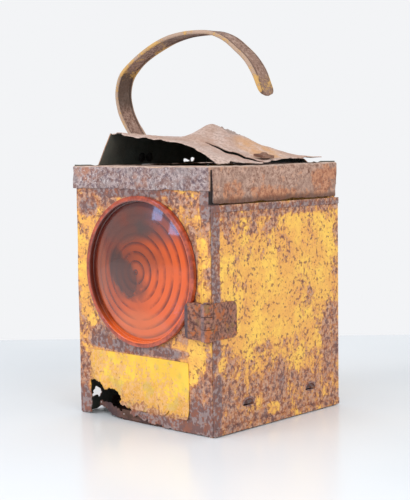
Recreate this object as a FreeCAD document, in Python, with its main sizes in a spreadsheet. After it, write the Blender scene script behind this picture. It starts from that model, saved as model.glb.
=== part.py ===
"""Portable battery-powered road hazard lamp, in millimetres.

The frame stands on Z = 0 with its origin under the middle of the case.  The round lens faces -Y,
the hinged side is at +X and the strap handle arches over the roof.  The cap, the roof and the
lower left corner of the case are rusted through and bent, as on a lamp that has been left out.
"""
import FreeCAD, Part
import math
import os
import Sketcher

Vector = FreeCAD.Vector
doc = FreeCAD.newDocument("road_hazard_lamp")

# ------------------------------------------------------------------ driving dimensions
DRIVING_SIZES = {
    # case of folded sheet
    "width": 161, "depth": 168, "height": 220, "gauge": 1, "bend": 2,
    "jamb": 11, "side_lap": 12, "inner_lap": 11, "pan_lip": 9, "pan_fit": 0.2,
    "bead_inset": 10, "bead_wide": 2.6, "bead_proud": 1, "bead_low": 3, "bead_high": 188,
    # cap
    "lid_drop": 20, "lid_fit": 0.1, "lid_bend": 1.6, "header_inset": 0.6, "header_drop": 31.1,
    "lid_slit": 3, "shoulder": 18.5,
    # roof
    "roof_rise": 27.3, "roof_sag": 3.6, "fold_rise": 18.5, "roof_clear": 1.2, "roof_inset": 0.4,
    "roof_back_rise": 2.2, "wall_lean": 3.6, "wall_gap": 0.4, "wall_out": 3, "wall_ahead": 6.5,
    "wall_behind": 2,
    # lens
    "lens_height": 131, "rim_diameter": 128.5, "rim_wide": 4.7, "rim_proud": 4.5, "gasket": 0.6,
    "dome_sunk": 4.6, "dome_rise": 6.6, "lens_wall": 2, "lens_barrel": 9, "lens_thick": 2.5,
    "ring_step": 2, "ring_count": 7, "lens_fit": 0.3,
    "ring_wide": 6, "ring_thick": 3, "clip_wide": 8,
    "bowl_deep": 34, "bowl_inset": 5.55, "bowl_throat": 9, "bowl_overlap": 0.45, "bowl_wall": 0.8,
    "bowl_curve": 64.4,
    # bulb
    "holder_long": 26, "holder_radius": 8.2, "cap_radius": 4.7, "cap_long": 12, "bulb_radius": 7.5,
    "bracket_wide": 28, "bracket_high": 18, "bracket_foot": 10,
    # label
    "label_left": 64.7, "label_right": 53.7, "label_low": 11, "label_high": 59, "label_thick": 0.7,
    "label_curl": 6,
    # door and hinge
    "door_gap": 0.3, "door_low": 1, "door_top": 188.5, "door_lip": 10, "door_front": 0.6,
    "hem_proud": 0.8, "hem_high": 5.5,
    "vent_wide": 14, "vent_high": 5.5, "vent_deep": 3.4, "vent_front": -40.5, "vent_back": 43.5,
    "vent_height": 20.5,
    "hinge_low": 80, "hinge_high": 110, "hinge_thick": 1.2, "knuckle": 5.2, "hinge_inset": 1.1,
    "hinge_ahead": 5.2, "pin_radius": 2, "pin_fit": 0.05, "front_leaf": 25.5, "door_leaf": 28.4,
    "leaf_round": 5, "knuckle_gap": 0.5, "swing_gap": 0.4, "packing_wide": 6,
    # catch
    "catch_inset": 22.5, "catch_height": 110, "catch_long": 21, "catch_wide": 10,
    "catch_thick": 1.5, "catch_rivet": 2.5, "catch_gap": 0.3, "catch_stand": 1.4,
    # battery and switch
    "battery_wide": 136.5, "battery_deep": 73, "battery_high": 121, "battery_round": 5,
    "battery_gap": 2, "terminal_span": 56, "terminal_radius": 5, "terminal_high": 6,
    "strip_wide": 8,
    "partition_high": 152, "switch_across": 58, "switch_height": 118, "switch_wide": 16,
    "switch_deep": 13, "switch_tall": 26, "bush_radius": 5.5, "bush_long": 4.5,
    "ball_radius": 3, "ball_gap": 0.4, "lever_radius": 1.5, "lever_long": 13, "lever_pin": 0.8,
    # handle
    "strap_wide": 19, "strap_thick": 2.2, "strap_centre": -16, "strap_rise": 114,
    "strap_round": 7.5, "strap_gap": 0.3, "lug_long": 12, "lug_gap": 0.4,
    "rivet_radius": 2.2, "rivet_head": 4.2, "rivet_fit": 0.05,
}

sizes = doc.addObject("Spreadsheet::Sheet", "sizes")
for row, (alias, size) in enumerate(DRIVING_SIZES.items(), start=1):
    cell = "A%d" % row
    sizes.set(cell, str(size))
    sizes.setAlias(cell, alias)
doc.recompute()


def number(expression):
    """The value of an expression over the sheet, as a plain number."""
    found = sizes.evalExpression(str(expression))
    return float(getattr(found, "Value", found))


# Places that several pieces share, as expressions over the sheet.
RIGHT = "(sizes.width / 2)"
LEFT = "(-sizes.width / 2)"
FRONT = "(-sizes.depth / 2)"
BACK = "(sizes.depth / 2)"
DOOR_IN = "(sizes.width / 2 - sizes.gauge)"
JAMB_OUT = "(sizes.width / 2 - sizes.header_inset - sizes.gauge)"
WALL_TOP = "(sizes.height - sizes.gauge)"
HEADER_OUT = "(sizes.width / 2 - sizes.header_inset)"
HEADER_LOW = "(sizes.height - sizes.header_drop)"
LID_PROUD = "(sizes.gauge + sizes.lid_fit)"
RIM_RADIUS = "(sizes.rim_diameter / 2)"
DOME_RADIUS = "(sizes.rim_diameter / 2 - sizes.rim_wide)"
BARREL_RADIUS = "(sizes.rim_diameter / 2 - sizes.rim_wide + sizes.lens_wall)"
RIM_FRONT = "(-sizes.depth / 2 - sizes.rim_proud)"
BARREL_BACK = "(-sizes.depth / 2 + sizes.lens_barrel)"
HINGE_X = "(sizes.width / 2 - sizes.hinge_inset)"
HINGE_Y = "(-sizes.depth / 2 - sizes.hinge_ahead)"
PARTITION_BACK = "(sizes.depth / 2 - 2 * sizes.gauge - 2 * sizes.battery_gap - sizes.battery_deep)"
PARTITION_FRONT = "(%s - sizes.gauge)" % PARTITION_BACK
CATCH_X = "(sizes.width / 2 - sizes.catch_inset)"
CATCH_IN = "(sizes.depth / 2 + sizes.catch_stand + sizes.catch_gap)"
BOWL_BACK = "(%s + sizes.bowl_wall + sizes.bowl_deep)" % BARREL_BACK
BOWL_LIP = "(%s + sizes.bowl_overlap)" % BARREL_RADIUS
BOWL_MOUTH = "(%s - sizes.bowl_inset)" % BARREL_RADIUS
TURRET_X = "(sizes.width / 2 - sizes.shoulder - sizes.wall_behind)"
TURRET_Y = "(sizes.depth / 2 - sizes.shoulder + 1)"

pieces = []


def keep(thing, label):
    """Name an object as one of the lamp's separate pieces."""
    thing.Label = label
    pieces.append(thing)
    return thing


# ------------------------------------------------------------------ drawing helpers
def base_plane(body, role):
    return next(feature for feature in body.Origin.OriginFeatures if feature.Role == role)


def sketch_on(body, name, role, offset="0"):
    sketch = body.newObject("Sketcher::SketchObject", name)
    sketch.AttachmentSupport = [(base_plane(body, role), "")]
    sketch.MapMode = "FlatFace"
    if offset != "0":
        sketch.setExpression("AttachmentOffset.Base.z", offset)
    return sketch


def draw_outline(sketch, corners):
    """A closed outline through (x, y) corners, all expressions over the sheet.

    A corner with a third and fourth entry is reached by an arc of that radius, which bulges to
    the left of the way travelled when the fourth entry is +1 and to the right when it is -1.
    """
    spots = [Vector(number(corner[0]), number(corner[1]), 0) for corner in corners]
    lines = []
    for index, corner in enumerate(corners):
        start, end = spots[index - 1], spots[index]
        if len(corner) == 2:
            lines.append(sketch.addGeometry(Part.LineSegment(start, end)))
            continue
        radius, side = number(corner[2]), corner[3]
        chord = end - start
        half = chord.Length / 2
        bulge = radius - math.sqrt(max(radius ** 2 - half ** 2, 0))
        left = Vector(-chord.y, chord.x, 0).normalize()
        middle = (start + end) / 2 + left * (side * bulge)
        arc = sketch.addGeometry(Part.Arc(start, middle, end))
        lines.append(arc)
    for index, line in enumerate(lines):
        follower = lines[(index + 1) % len(lines)]
        end_of_line = nearest_end(sketch, line, spots[index])
        start_of_next = nearest_end(sketch, follower, spots[index])
        sketch.addConstraint(
            Sketcher.Constraint("Coincident", line, end_of_line, follower, start_of_next))
    for index, line in enumerate(lines):
        corner = corners[index - 1]
        where = nearest_end(sketch, line, spots[index - 1])
        for axis, expression in zip("XY", corner[:2]):
            pin_point(sketch, line, where, axis, expression)
        if len(corners[index]) > 2:
            bound = sketch.addConstraint(
                Sketcher.Constraint("Radius", line, number(corners[index][2])))
            sketch.setExpression("Constraints[%d]" % bound, corners[index][2])


def nearest_end(sketch, line, spot):
    """Which end of a line or arc, 1 or 2, lies on a spot."""
    return min((1, 2), key=lambda end: (sketch.getPoint(line, end) - spot).Length)


def pin_point(sketch, line, end, axis, expression):
    """Tie one coordinate of a line's end to an expression."""
    if expression == "0":
        onto = {"X": -2, "Y": -1}[axis]
        sketch.addConstraint(Sketcher.Constraint("PointOnObject", line, end, onto))
        return
    placed = sketch.addConstraint(
        Sketcher.Constraint("Distance" + axis, -1, 1, line, end, number(expression)))
    sketch.setExpression("Constraints[%d]" % placed, expression)


def draw_circle(sketch, across, along, radius):
    circle = sketch.addGeometry(Part.Circle(
        Vector(number(across), number(along), 0), Vector(0, 0, 1), number(radius)))
    pin_point(sketch, circle, 3, "X", across)
    pin_point(sketch, circle, 3, "Y", along)
    bound = sketch.addConstraint(Sketcher.Constraint("Radius", circle, number(radius)))
    sketch.setExpression("Constraints[%d]" % bound, radius)


def rectangle(low_x, low_y, high_x, high_y):
    return [(low_x, low_y), (high_x, low_y), (high_x, high_y), (low_x, high_y)]


def new_body(label):
    return keep(doc.addObject("PartDesign::Body", label), label)


def pad(body, name, role, corners, length, offset="0"):
    """Push an outline up from a base plane along the plane's normal."""
    sketch = sketch_on(body, name + "_sketch", role, offset)
    draw_outline(sketch, corners)
    feature = body.newObject("PartDesign::Pad", name)
    feature.Profile = sketch
    feature.setExpression("Length", length)
    return feature


def pocket(body, name, role, draw, reverse, offset="0", length=None):
    """Cut a sketch out of a body, through everything unless a length is given."""
    doc.recompute()
    before = body.Shape.Volume
    sketch = sketch_on(body, name + "_sketch", role, offset)
    draw(sketch)
    feature = body.newObject("PartDesign::Pocket", name)
    feature.Profile = sketch
    feature.Reversed = reverse
    if length is None:
        feature.Type = "ThroughAll"
    else:
        feature.setExpression("Length", length)
    doc.recompute()
    if body.Shape.Volume >= before:
        raise RuntimeError("pocket %s cuts nothing" % name)
    return feature


def fillet(body, name, base, wanted, radius):
    """Round the edges of a feature that a test picks."""
    doc.recompute()
    names = ["Edge%d" % (index + 1) for index, edge in enumerate(base.Shape.Edges) if wanted(edge)]
    feature = body.newObject("PartDesign::Fillet", name)
    feature.Base = (base, names)
    feature.setExpression("Radius", radius)
    doc.recompute()
    return feature


def turned(label, corners):
    """A ring or bowl turned about the lens axis, from (radius, y) corners."""
    body = new_body(label)
    sketch = sketch_on(body, label + "_sketch", "XY_Plane")
    draw_outline(sketch, corners)
    turn = body.newObject("PartDesign::Revolution", label + "_turn")
    turn.Profile = sketch
    turn.ReferenceAxis = (sketch, ["V_Axis"])
    turn.Angle = 360
    body.setExpression("Placement.Base.z", "sizes.lens_height")
    return body


def block(name, low, high):
    """A box between two corners, each given as three expressions."""
    box = doc.addObject("Part::Box", name)
    for axis, side, start, end in zip("xyz", ("Length", "Width", "Height"), low, high):
        box.setExpression(side, "%s - (%s)" % (end, start))
        box.setExpression("Placement.Base." + axis, start)
    return box


def rod(name, start, direction, length, radius):
    """A cylinder from a starting point, along +x, +y or +z."""
    turns = {"x": (Vector(0, 1, 0), 90), "y": (Vector(1, 0, 0), -90), "z": (Vector(0, 0, 1), 0)}
    cylinder = doc.addObject("Part::Cylinder", name)
    cylinder.Placement.Rotation = FreeCAD.Rotation(*turns[direction])
    cylinder.setExpression("Radius", radius)
    cylinder.setExpression("Height", length)
    for axis, expression in zip("xyz", start):
        cylinder.setExpression("Placement.Base." + axis, expression)
    return cylinder


def ball(name, centre, radius):
    sphere = doc.addObject("Part::Sphere", name)
    sphere.setExpression("Radius", radius)
    for axis, expression in zip("xyz", centre):
        sphere.setExpression("Placement.Base." + axis, expression)
    return sphere


def fused(name, shapes):
    union = doc.addObject("Part::MultiFuse", name)
    union.Shapes = shapes
    return union


def group(name, shapes):
    """Several separate solids that share one node."""
    compound = doc.addObject("Part::Compound", name)
    compound.Links = shapes
    return compound


def less(name, base, tool):
    difference = doc.addObject("Part::Cut", name)
    difference.Base = base
    difference.Tool = tool
    return difference


# ------------------------------------------------------------------ case walls
# The lower left of the front is rusted away.  The ragged edge runs from the upright strip at the
# left, over the top of the hole and down to the bottom edge: distance from the left face, height.
RUST_HOLE = [(14.5, -1), (14.5, 32), (19.5, 31), (25.5, 31), (30.5, 28), (30.5, 25), (33.5, 24),
             (39.5, 27), (43.5, 24), (48.5, 25), (52.5, 21), (50.5, 16), (53.5, 13), (60.5, 13),
             (64.5, 7), (62.5, 3), (66.5, -1)]
# The hole in the left side: distance from the front face, height.
SIDE_HOLE = [(12, 14), (17, 21), (22, 20), (24, 14), (21, 11), (15, 12)]
# The floor pan has lost its front left corner: distances from the left and front faces.
PAN_HOLE = [(1.5, 1), (52.5, 1), (46.5, 10), (33.5, 14), (25.5, 26), (14.5, 30), (1.5, 37)]


def ragged(points, across, along="0"):
    """A hand-drawn torn edge as outline corners, measured from a place given by two expressions."""
    return [("%s + %g" % (across, x), "%s + %g" % (along, y)) for x, y in points]


def wall_profile(side):
    """The front (side -1) or back (+1) wall seen from above: lap, bend, face, bend, jamb."""
    face = "(%d * sizes.depth / 2)" % side
    into = "%+d" % -side

    def inward(amount):
        return "%s %s * (%s)" % (face, into, amount)

    arc = -side
    return [
        (JAMB_OUT, inward("sizes.jamb")),
        (JAMB_OUT, inward("sizes.bend")),
        (JAMB_OUT + " - sizes.bend", face, "sizes.bend", arc),
        (LEFT + " + sizes.bend", face),
        (LEFT, inward("sizes.bend"), "sizes.bend", arc),
        (LEFT, inward("sizes.side_lap")),
        (LEFT + " + sizes.gauge", inward("sizes.side_lap")),
        (LEFT + " + sizes.gauge", inward("sizes.bend")),
        (LEFT + " + sizes.bend", inward("sizes.gauge"), "sizes.bend - sizes.gauge", side),
        (JAMB_OUT + " - sizes.bend", inward("sizes.gauge")),
        (JAMB_OUT + " - sizes.gauge", inward("sizes.bend"), "sizes.bend - sizes.gauge", side),
        (JAMB_OUT + " - sizes.gauge", inward("sizes.jamb")),
    ]


def make_front_panel():
    body = new_body("front_panel")
    pad(body, "front_fold", "XY_Plane", wall_profile(-1), WALL_TOP)
    bead = "(%s - sizes.bead_inset)" % RIGHT
    foot, crown = "sizes.bead_wide / 2", "sizes.bead_wide / 3"
    root = FRONT + " + sizes.gauge / 2"
    crest = FRONT + " - sizes.bead_proud"
    pad(body, "front_bead", "XY_Plane",
        [("%s - %s" % (bead, foot), root), ("%s - %s" % (bead, crown), crest),
         ("%s + %s" % (bead, crown), crest), ("%s + %s" % (bead, foot), root)],
        "sizes.bead_high - sizes.bead_low", "sizes.bead_low")
    pocket(body, "lens_aperture", "XZ_Plane",
           lambda sketch: draw_circle(sketch, "0", "sizes.lens_height",
                                      BARREL_RADIUS + " + sizes.lens_fit"), True)
    pocket(body, "front_rust_hole", "XZ_Plane",
           lambda sketch: draw_outline(sketch, ragged(RUST_HOLE, LEFT)), True)


def make_back_panel():
    body = new_body("back_panel")
    pad(body, "back_fold", "XY_Plane", wall_profile(1), WALL_TOP)
    pocket(body, "catch_hole", "XZ_Plane",
           lambda sketch: draw_circle(sketch, CATCH_X, "sizes.catch_height",
                                      "sizes.catch_rivet"), False)


def make_left_side():
    """The left side is a channel whose laps lie behind the front and back walls."""
    body = new_body("left_side_panel")
    out = "(%s + sizes.gauge)" % LEFT
    low, high = "(%s + sizes.gauge)" % FRONT, "(%s - sizes.gauge)" % BACK
    bend = "sizes.bend - sizes.gauge / 2"
    within = "sizes.bend - 3 * sizes.gauge / 2"
    pad(body, "left_fold", "XY_Plane", [
        (out, "%s + %s" % (low, bend), bend, 1),
        (out, "%s - (%s)" % (high, bend)),
        ("%s + %s" % (out, bend), high, bend, 1),
        (out + " + sizes.inner_lap", high),
        (out + " + sizes.inner_lap", high + " - sizes.gauge"),
        ("%s + %s" % (out, bend), high + " - sizes.gauge"),
        (out + " + sizes.gauge", "%s - (%s)" % (high, bend), within, -1),
        (out + " + sizes.gauge", "%s + %s" % (low, bend)),
        ("%s + %s" % (out, bend), low + " + sizes.gauge", within, -1),
        (out + " + sizes.inner_lap", low + " + sizes.gauge"),
        (out + " + sizes.inner_lap", low),
        ("%s + %s" % (out, bend), low),
    ], WALL_TOP)
    pocket(body, "side_rust_hole", "YZ_Plane",
           lambda sketch: draw_outline(sketch, ragged(SIDE_HOLE, FRONT)), False)


def make_floor_pan():
    body = new_body("floor_pan")
    inset = "(2 * sizes.gauge + sizes.pan_fit)"
    low_x, high_x = "%s + %s" % (LEFT, inset), JAMB_OUT + " - sizes.gauge - sizes.pan_fit"
    low_y, high_y = "%s + %s" % (FRONT, inset), "%s - %s" % (BACK, inset)
    pad(body, "pan_blank", "XY_Plane", rectangle(low_x, low_y, high_x, high_y), "sizes.pan_lip")
    inner = rectangle(low_x + " + sizes.gauge", low_y + " + sizes.gauge",
                      high_x + " - sizes.gauge", high_y + " - sizes.gauge")
    pocket(body, "pan_hollow", "XY_Plane", lambda sketch: draw_outline(sketch, inner),
           True, "sizes.gauge", "sizes.pan_lip")
    pocket(body, "pan_rust_hole", "XY_Plane",
           lambda sketch: draw_outline(sketch, ragged(PAN_HOLE, LEFT, FRONT)), True)


# ------------------------------------------------------------------ cap and label
def make_lid_cap():
    body = new_body("lid_cap")
    left, right = "(%s - %s)" % (LEFT, LID_PROUD), HEADER_OUT
    front, back = "(%s - %s)" % (FRONT, LID_PROUD), "(%s + %s)" % (BACK, LID_PROUD)
    skirt_low = "sizes.height - sizes.lid_drop"
    blank = pad(body, "lid_blank", "XY_Plane", rectangle(left, front, right, back),
                "sizes.lid_drop", skirt_low)
    top, far = number("sizes.height"), number(HEADER_OUT)

    def outer_bend(edge):
        """The rim of the top, and the two upright corners of the fixed left side."""
        middle = edge.CenterOfMass
        upright = abs(edge.BoundBox.ZLength - number("sizes.lid_drop")) < 0.01
        return middle.z > top - 0.01 or (upright and middle.x < far - 1)

    fillet(body, "lid_rounding", blank, outer_bend, "sizes.lid_bend")
    inner = rectangle(left + " + sizes.gauge", front + " + sizes.gauge",
                      right + " - sizes.gauge", back + " - sizes.gauge")
    pocket(body, "lid_hollow", "XY_Plane", lambda sketch: draw_outline(sketch, inner), True,
           skirt_low, "sizes.lid_drop - sizes.gauge")
    header_front = FRONT + " + sizes.lid_slit"
    pad(body, "header", "XY_Plane",
        rectangle(right + " - sizes.gauge", header_front, right, BACK),
        "sizes.header_drop - sizes.lid_drop + sizes.gauge", HEADER_LOW)
    slit = rectangle(right + " - 1.5 * sizes.gauge", front + " - sizes.gauge",
                     right + " + sizes.gauge", header_front)
    pocket(body, "corner_slit", "XY_Plane", lambda sketch: draw_outline(sketch, slit), True,
           skirt_low + " - sizes.gauge", "sizes.lid_drop - sizes.lid_bend + sizes.gauge")
    mouth = rectangle("-(%s)" % TURRET_X, "-(%s)" % TURRET_Y, TURRET_X, TURRET_Y)
    pocket(body, "turret_mouth", "XY_Plane", lambda sketch: draw_outline(sketch, mouth), True,
           WALL_TOP + " - sizes.gauge")


def make_label_plate():
    """A thin plate on the front wall, rusted away along the same ragged edge as the wall."""
    body = new_body("label_plate")
    pad(body, "label_blank", "XZ_Plane", [
        ("-sizes.label_left", "sizes.label_low"),
        ("sizes.label_right - sizes.label_curl", "sizes.label_low"),
        ("sizes.label_right", "sizes.label_low + sizes.label_curl"),
        ("sizes.label_right", "sizes.label_high"),
        ("-sizes.label_left", "sizes.label_high")], "sizes.label_thick", "-(%s)" % FRONT)
    pocket(body, "label_rust_hole", "XZ_Plane",
           lambda sketch: draw_outline(sketch, ragged(RUST_HOLE, LEFT)), True)


# ------------------------------------------------------------------ lens and light
def make_lens():
    """A rimmed dome with stepped rings moulded into its inner face."""
    dome_edge = "(%s + sizes.dome_sunk)" % RIM_FRONT
    dome_curve = "((%s ^ 2 + sizes.dome_rise ^ 2) / (2 * sizes.dome_rise))" % DOME_RADIUS
    ball_centre = "(%s - sizes.dome_rise + %s)" % (dome_edge, dome_curve)
    soft = "sizes.rim_wide / 5"
    corners = [
        (RIM_RADIUS, "%s - sizes.gasket" % FRONT),
        (RIM_RADIUS, "%s + %s" % (RIM_FRONT, soft)),
        ("%s - %s" % (RIM_RADIUS, soft), RIM_FRONT),
        ("%s + %s" % (DOME_RADIUS, soft), RIM_FRONT),
        (DOME_RADIUS, "%s + %s" % (RIM_FRONT, soft)),
        (DOME_RADIUS, dome_edge),
        ("0", "%s - sizes.dome_rise" % dome_edge, dome_curve, 1),
    ]
    steps = int(number("sizes.ring_count"))
    inner = "(%s - sizes.lens_wall)" % BARREL_RADIUS

    def inside(radius, extra):
        """A point of the inner face, that much thicker than the plain wall."""
        curve = "(%s - sizes.lens_thick)" % dome_curve
        return "%s - sqrt(%s ^ 2 - (%s) ^ 2) + %s" % (ball_centre, curve, radius, extra)

    for ring in range(steps):
        near = "%s * %d / %d" % (inner, ring, steps)
        away = "%s * %d / %d" % (inner, ring + 1, steps)
        crest = "sizes.ring_step * %d / %d" % (ring + 1, steps)
        corners.append(("0" if ring == 0 else near, inside(near, crest)))
        corners.append((away, inside(away, "0")))
    corners.append((inner, BARREL_BACK))
    corners.append((BARREL_RADIUS, BARREL_BACK))
    corners.append((BARREL_RADIUS, "%s - sizes.gasket" % FRONT))
    turned("lens", corners)


def make_lens_mounting():
    """The gasket under the rim, and the ring that grips the barrel behind the wall."""
    grip = "(%s + sizes.lens_fit)" % BARREL_RADIUS
    turned("lens_gasket", rectangle(grip, "%s - sizes.gasket" % FRONT, RIM_RADIUS, FRONT))
    ring_front = "(%s + sizes.gauge)" % FRONT
    ring_back = "(%s + sizes.ring_thick)" % ring_front
    ring_rim = "(%s + sizes.ring_wide)" % BARREL_RADIUS
    turned("lens_retaining_ring", rectangle(BARREL_RADIUS, ring_front, ring_rim, ring_back))
    lip_back = "(%s + sizes.bowl_wall)" % BARREL_BACK
    clip_back = lip_back + " + sizes.gauge"
    clip_out = BOWL_LIP + " + 2 * sizes.gauge"
    leg = block("clip_leg", (BOWL_LIP + " + sizes.gauge", ring_back, "-sizes.clip_wide / 2"),
                (clip_out, clip_back, "sizes.clip_wide / 2"))
    toe = block("clip_toe", (BOWL_LIP + " - 3 * sizes.gauge", lip_back, "-sizes.clip_wide / 2"),
                (clip_out, clip_back, "sizes.clip_wide / 2"))
    clip = fused("clip_shape", [leg, toe])
    doc.recompute()
    clips = []
    for turn in (30, 150, 270):
        copy = doc.addObject("Part::Feature", "clip_%d" % turn)
        copy.Shape = clip.Shape.copy()
        copy.Placement = FreeCAD.Placement(Vector(0, 0, number("sizes.lens_height")),
                                           FreeCAD.Rotation(Vector(0, 1, 0), turn))
        clips.append(copy)
    keep(group("reflector_clips", clips), "reflector_clips")


def make_light():
    """The reflector bowl, the holder through its throat, the bulb and the bracket behind."""
    lip_back = "(%s + sizes.bowl_wall)" % BARREL_BACK
    turned("reflector", [
        (BOWL_LIP, BARREL_BACK), (BOWL_LIP, lip_back),
        (BOWL_MOUTH + " + sizes.bowl_wall", lip_back),
        ("sizes.bowl_throat", BOWL_BACK, "sizes.bowl_curve", -1),
        ("sizes.bowl_throat", BOWL_BACK + " - sizes.bowl_wall"),
        (BOWL_MOUTH, BARREL_BACK, "sizes.bowl_curve", 1)])
    holder_front = "(%s - sizes.cap_long / 2)" % BOWL_BACK
    holder_back = "(%s + sizes.holder_long)" % holder_front
    turned("bulb_holder", [
        ("sizes.cap_radius", holder_front), ("sizes.holder_radius", holder_front),
        ("sizes.holder_radius", holder_back), ("0", holder_back),
        ("0", holder_front + " + sizes.cap_long"),
        ("sizes.cap_radius", holder_front + " + sizes.cap_long")])
    cap_front = "(%s - sizes.gauge)" % holder_front
    turned("bulb_cap", [
        ("0", cap_front), ("sizes.cap_radius", cap_front),
        ("sizes.cap_radius", holder_front + " + 0.8 * sizes.cap_long"),
        ("sizes.cap_radius / 2", holder_front + " + sizes.cap_long"),
        ("0", holder_front + " + sizes.cap_long")])
    neck = "(0.75 * sizes.cap_radius)"
    reach = "sqrt(sizes.bulb_radius ^ 2 - %s ^ 2)" % neck
    centre = "(%s - 2 - %s)" % (cap_front, reach)
    turned("bulb_glass", [
        ("0", cap_front), (neck, cap_front), (neck, "%s + %s" % (centre, reach)),
        ("sizes.bulb_radius", centre, "sizes.bulb_radius", 1),
        ("0", centre + " - sizes.bulb_radius", "sizes.bulb_radius", 1)])
    low, high = ("sizes.lens_height %s sizes.bracket_high / 2" % sign for sign in "-+")
    arm_out, arm_in = "sizes.bracket_wide / 2", "sizes.bracket_wide / 2 - sizes.gauge"
    foot_out = "sizes.bracket_wide / 2 + sizes.bracket_foot"
    parts = [block("bracket_seat", ("-" + arm_out, holder_back, low),
                   (arm_out, holder_back + " + sizes.gauge", high))]
    for name, sign in (("left", "-"), ("right", "")):
        for kind, start, end, front in (("arm", arm_in, arm_out, holder_back),
                                        ("foot", arm_in, foot_out,
                                         PARTITION_FRONT + " - sizes.gauge")):
            ends = sorted(("%s(%s)" % (sign, start), "%s(%s)" % (sign, end)), key=number)
            parts.append(block("bracket_%s_%s" % (kind, name), (ends[0], front, low),
                               (ends[1], PARTITION_FRONT, high)))
    keep(fused("bulb_bracket", parts), "bulb_bracket")


# ------------------------------------------------------------------ battery and switch
def make_battery():
    top = "(sizes.gauge + sizes.battery_high)"
    low_y = "(%s + sizes.battery_gap)" % PARTITION_BACK
    high_y = "(%s + sizes.battery_deep)" % low_y
    half = "(sizes.battery_wide / 2)"
    body = new_body("battery_case")
    blank = pad(body, "battery_blank", "XY_Plane",
                rectangle("-" + half, low_y, half, high_y), "sizes.battery_high", "sizes.gauge")
    fillet(body, "battery_rounding", blank, lambda edge: edge.BoundBox.ZLength > 1,
           "sizes.battery_round")
    middle = "(%s + sizes.battery_deep / 2)" % low_y
    shelf = "(%s + sizes.terminal_high)" % top
    shelf_top = shelf + " + sizes.gauge"
    terminals, strips = [], []
    for name, sign in (("left", "-"), ("right", "")):
        across = "%ssizes.terminal_span / 2" % sign
        low_x, high_x = (across + " %s sizes.strip_wide / 2" % way for way in "-+")
        terminals.append(rod("terminal_" + name, (across, middle, top), "z",
                             "sizes.terminal_high", "sizes.terminal_radius"))
        lying = block("strip_flat_" + name, (low_x, PARTITION_BACK, shelf),
                      (high_x, middle + " + sizes.strip_wide / 2", shelf_top))
        standing = block("strip_up_" + name, (low_x, PARTITION_BACK, shelf),
                         (high_x, PARTITION_BACK + " + sizes.gauge",
                          shelf + " + 2 * sizes.strip_wide"))
        strips.append(fused("strip_" + name, [lying, standing]))
    keep(group("battery_terminals", terminals), "battery_terminals")
    keep(group("contact_strips", strips), "contact_strips")
    keep(block("partition_plate",
               (LEFT + " + 3 * sizes.gauge + 2 * sizes.pan_fit", PARTITION_FRONT, "sizes.gauge"),
               (JAMB_OUT + " - 2 * sizes.gauge - 2 * sizes.pan_fit", PARTITION_BACK,
                "sizes.partition_high")),
         "partition_plate")


def make_switch():
    """A lever switch on the front of the partition; the lever turns on a cross pin."""
    across, height = "sizes.switch_across", "sizes.switch_height"
    face = "(%s - sizes.switch_deep)" % PARTITION_FRONT
    mouth = "(%s - sizes.bush_long)" % face
    pivot = "(%s - sizes.bush_long / 2)" % face
    case = block("switch_case",
                 (across + " - sizes.switch_wide / 2", face, height + " - sizes.switch_tall / 2"),
                 (across + " + sizes.switch_wide / 2", PARTITION_FRONT,
                  height + " + sizes.switch_tall / 2"))
    bush = rod("switch_bush", (across, mouth, height), "y", "sizes.bush_long",
               "sizes.bush_radius")
    room = "(sizes.ball_radius + sizes.ball_gap)"
    hollow = rod("switch_hollow", (across, mouth, height), "y", "sizes.bush_long / 2 + " + room,
                 room)
    pin = rod("switch_pin", (across + " - 0.9 * sizes.bush_radius", pivot, height), "x",
              "1.8 * sizes.bush_radius", "sizes.lever_pin")
    bored = less("switch_bored", fused("switch_solid", [case, bush]), hollow)
    keep(fused("switch_body", [bored, pin]), "switch_body")
    knob = ball("lever_ball", (across, pivot, height), "sizes.ball_radius")
    tip_place = (across, pivot + " - sizes.lever_long", height)
    shaft = rod("lever_shaft", tip_place, "y", "sizes.lever_long", "sizes.lever_radius")
    tip = ball("lever_tip", tip_place, "1.5 * sizes.lever_radius")
    bore = rod("lever_bore", (across + " - sizes.bush_radius", pivot, height), "x",
               "2 * sizes.bush_radius", "sizes.lever_pin + sizes.pin_fit")
    keep(less("switch_lever", fused("lever_solid", [knob, shaft, tip]), bore), "switch_lever")


# ------------------------------------------------------------------ hinged side
def make_vent(place):
    """The solid hood and the hollow of one half-moon vent, pressed into the door."""
    middle = "sizes." + place
    low = "sizes.vent_height"
    halves = []
    for kind, extra, outside in (("hood", "sizes.gauge", "0"), ("hollow", "0", "sizes.vent_deep")):
        dome = doc.addObject("Part::Ellipsoid", "%s_%s_dome" % (place, kind))
        dome.setExpression("Radius1", "sizes.vent_high + " + extra)
        dome.setExpression("Radius2", "sizes.vent_deep + sizes.gauge + " + extra)
        dome.setExpression("Radius3", "sizes.vent_wide / 2 + " + extra)
        for axis, spot in zip("xyz", (RIGHT, middle, low)):
            dome.setExpression("Placement.Base." + axis, spot)
        window = block("%s_%s_window" % (place, kind),
                       (RIGHT + " - 3 * sizes.vent_deep", middle + " - sizes.vent_wide", low),
                       ("%s + %s" % (RIGHT, outside), middle + " + sizes.vent_wide",
                        low + " + 3 * sizes.vent_high"))
        half = doc.addObject("Part::Common", "%s_%s" % (place, kind))
        half.Base = dome
        half.Tool = window
        halves.append(half)
    return halves


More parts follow.
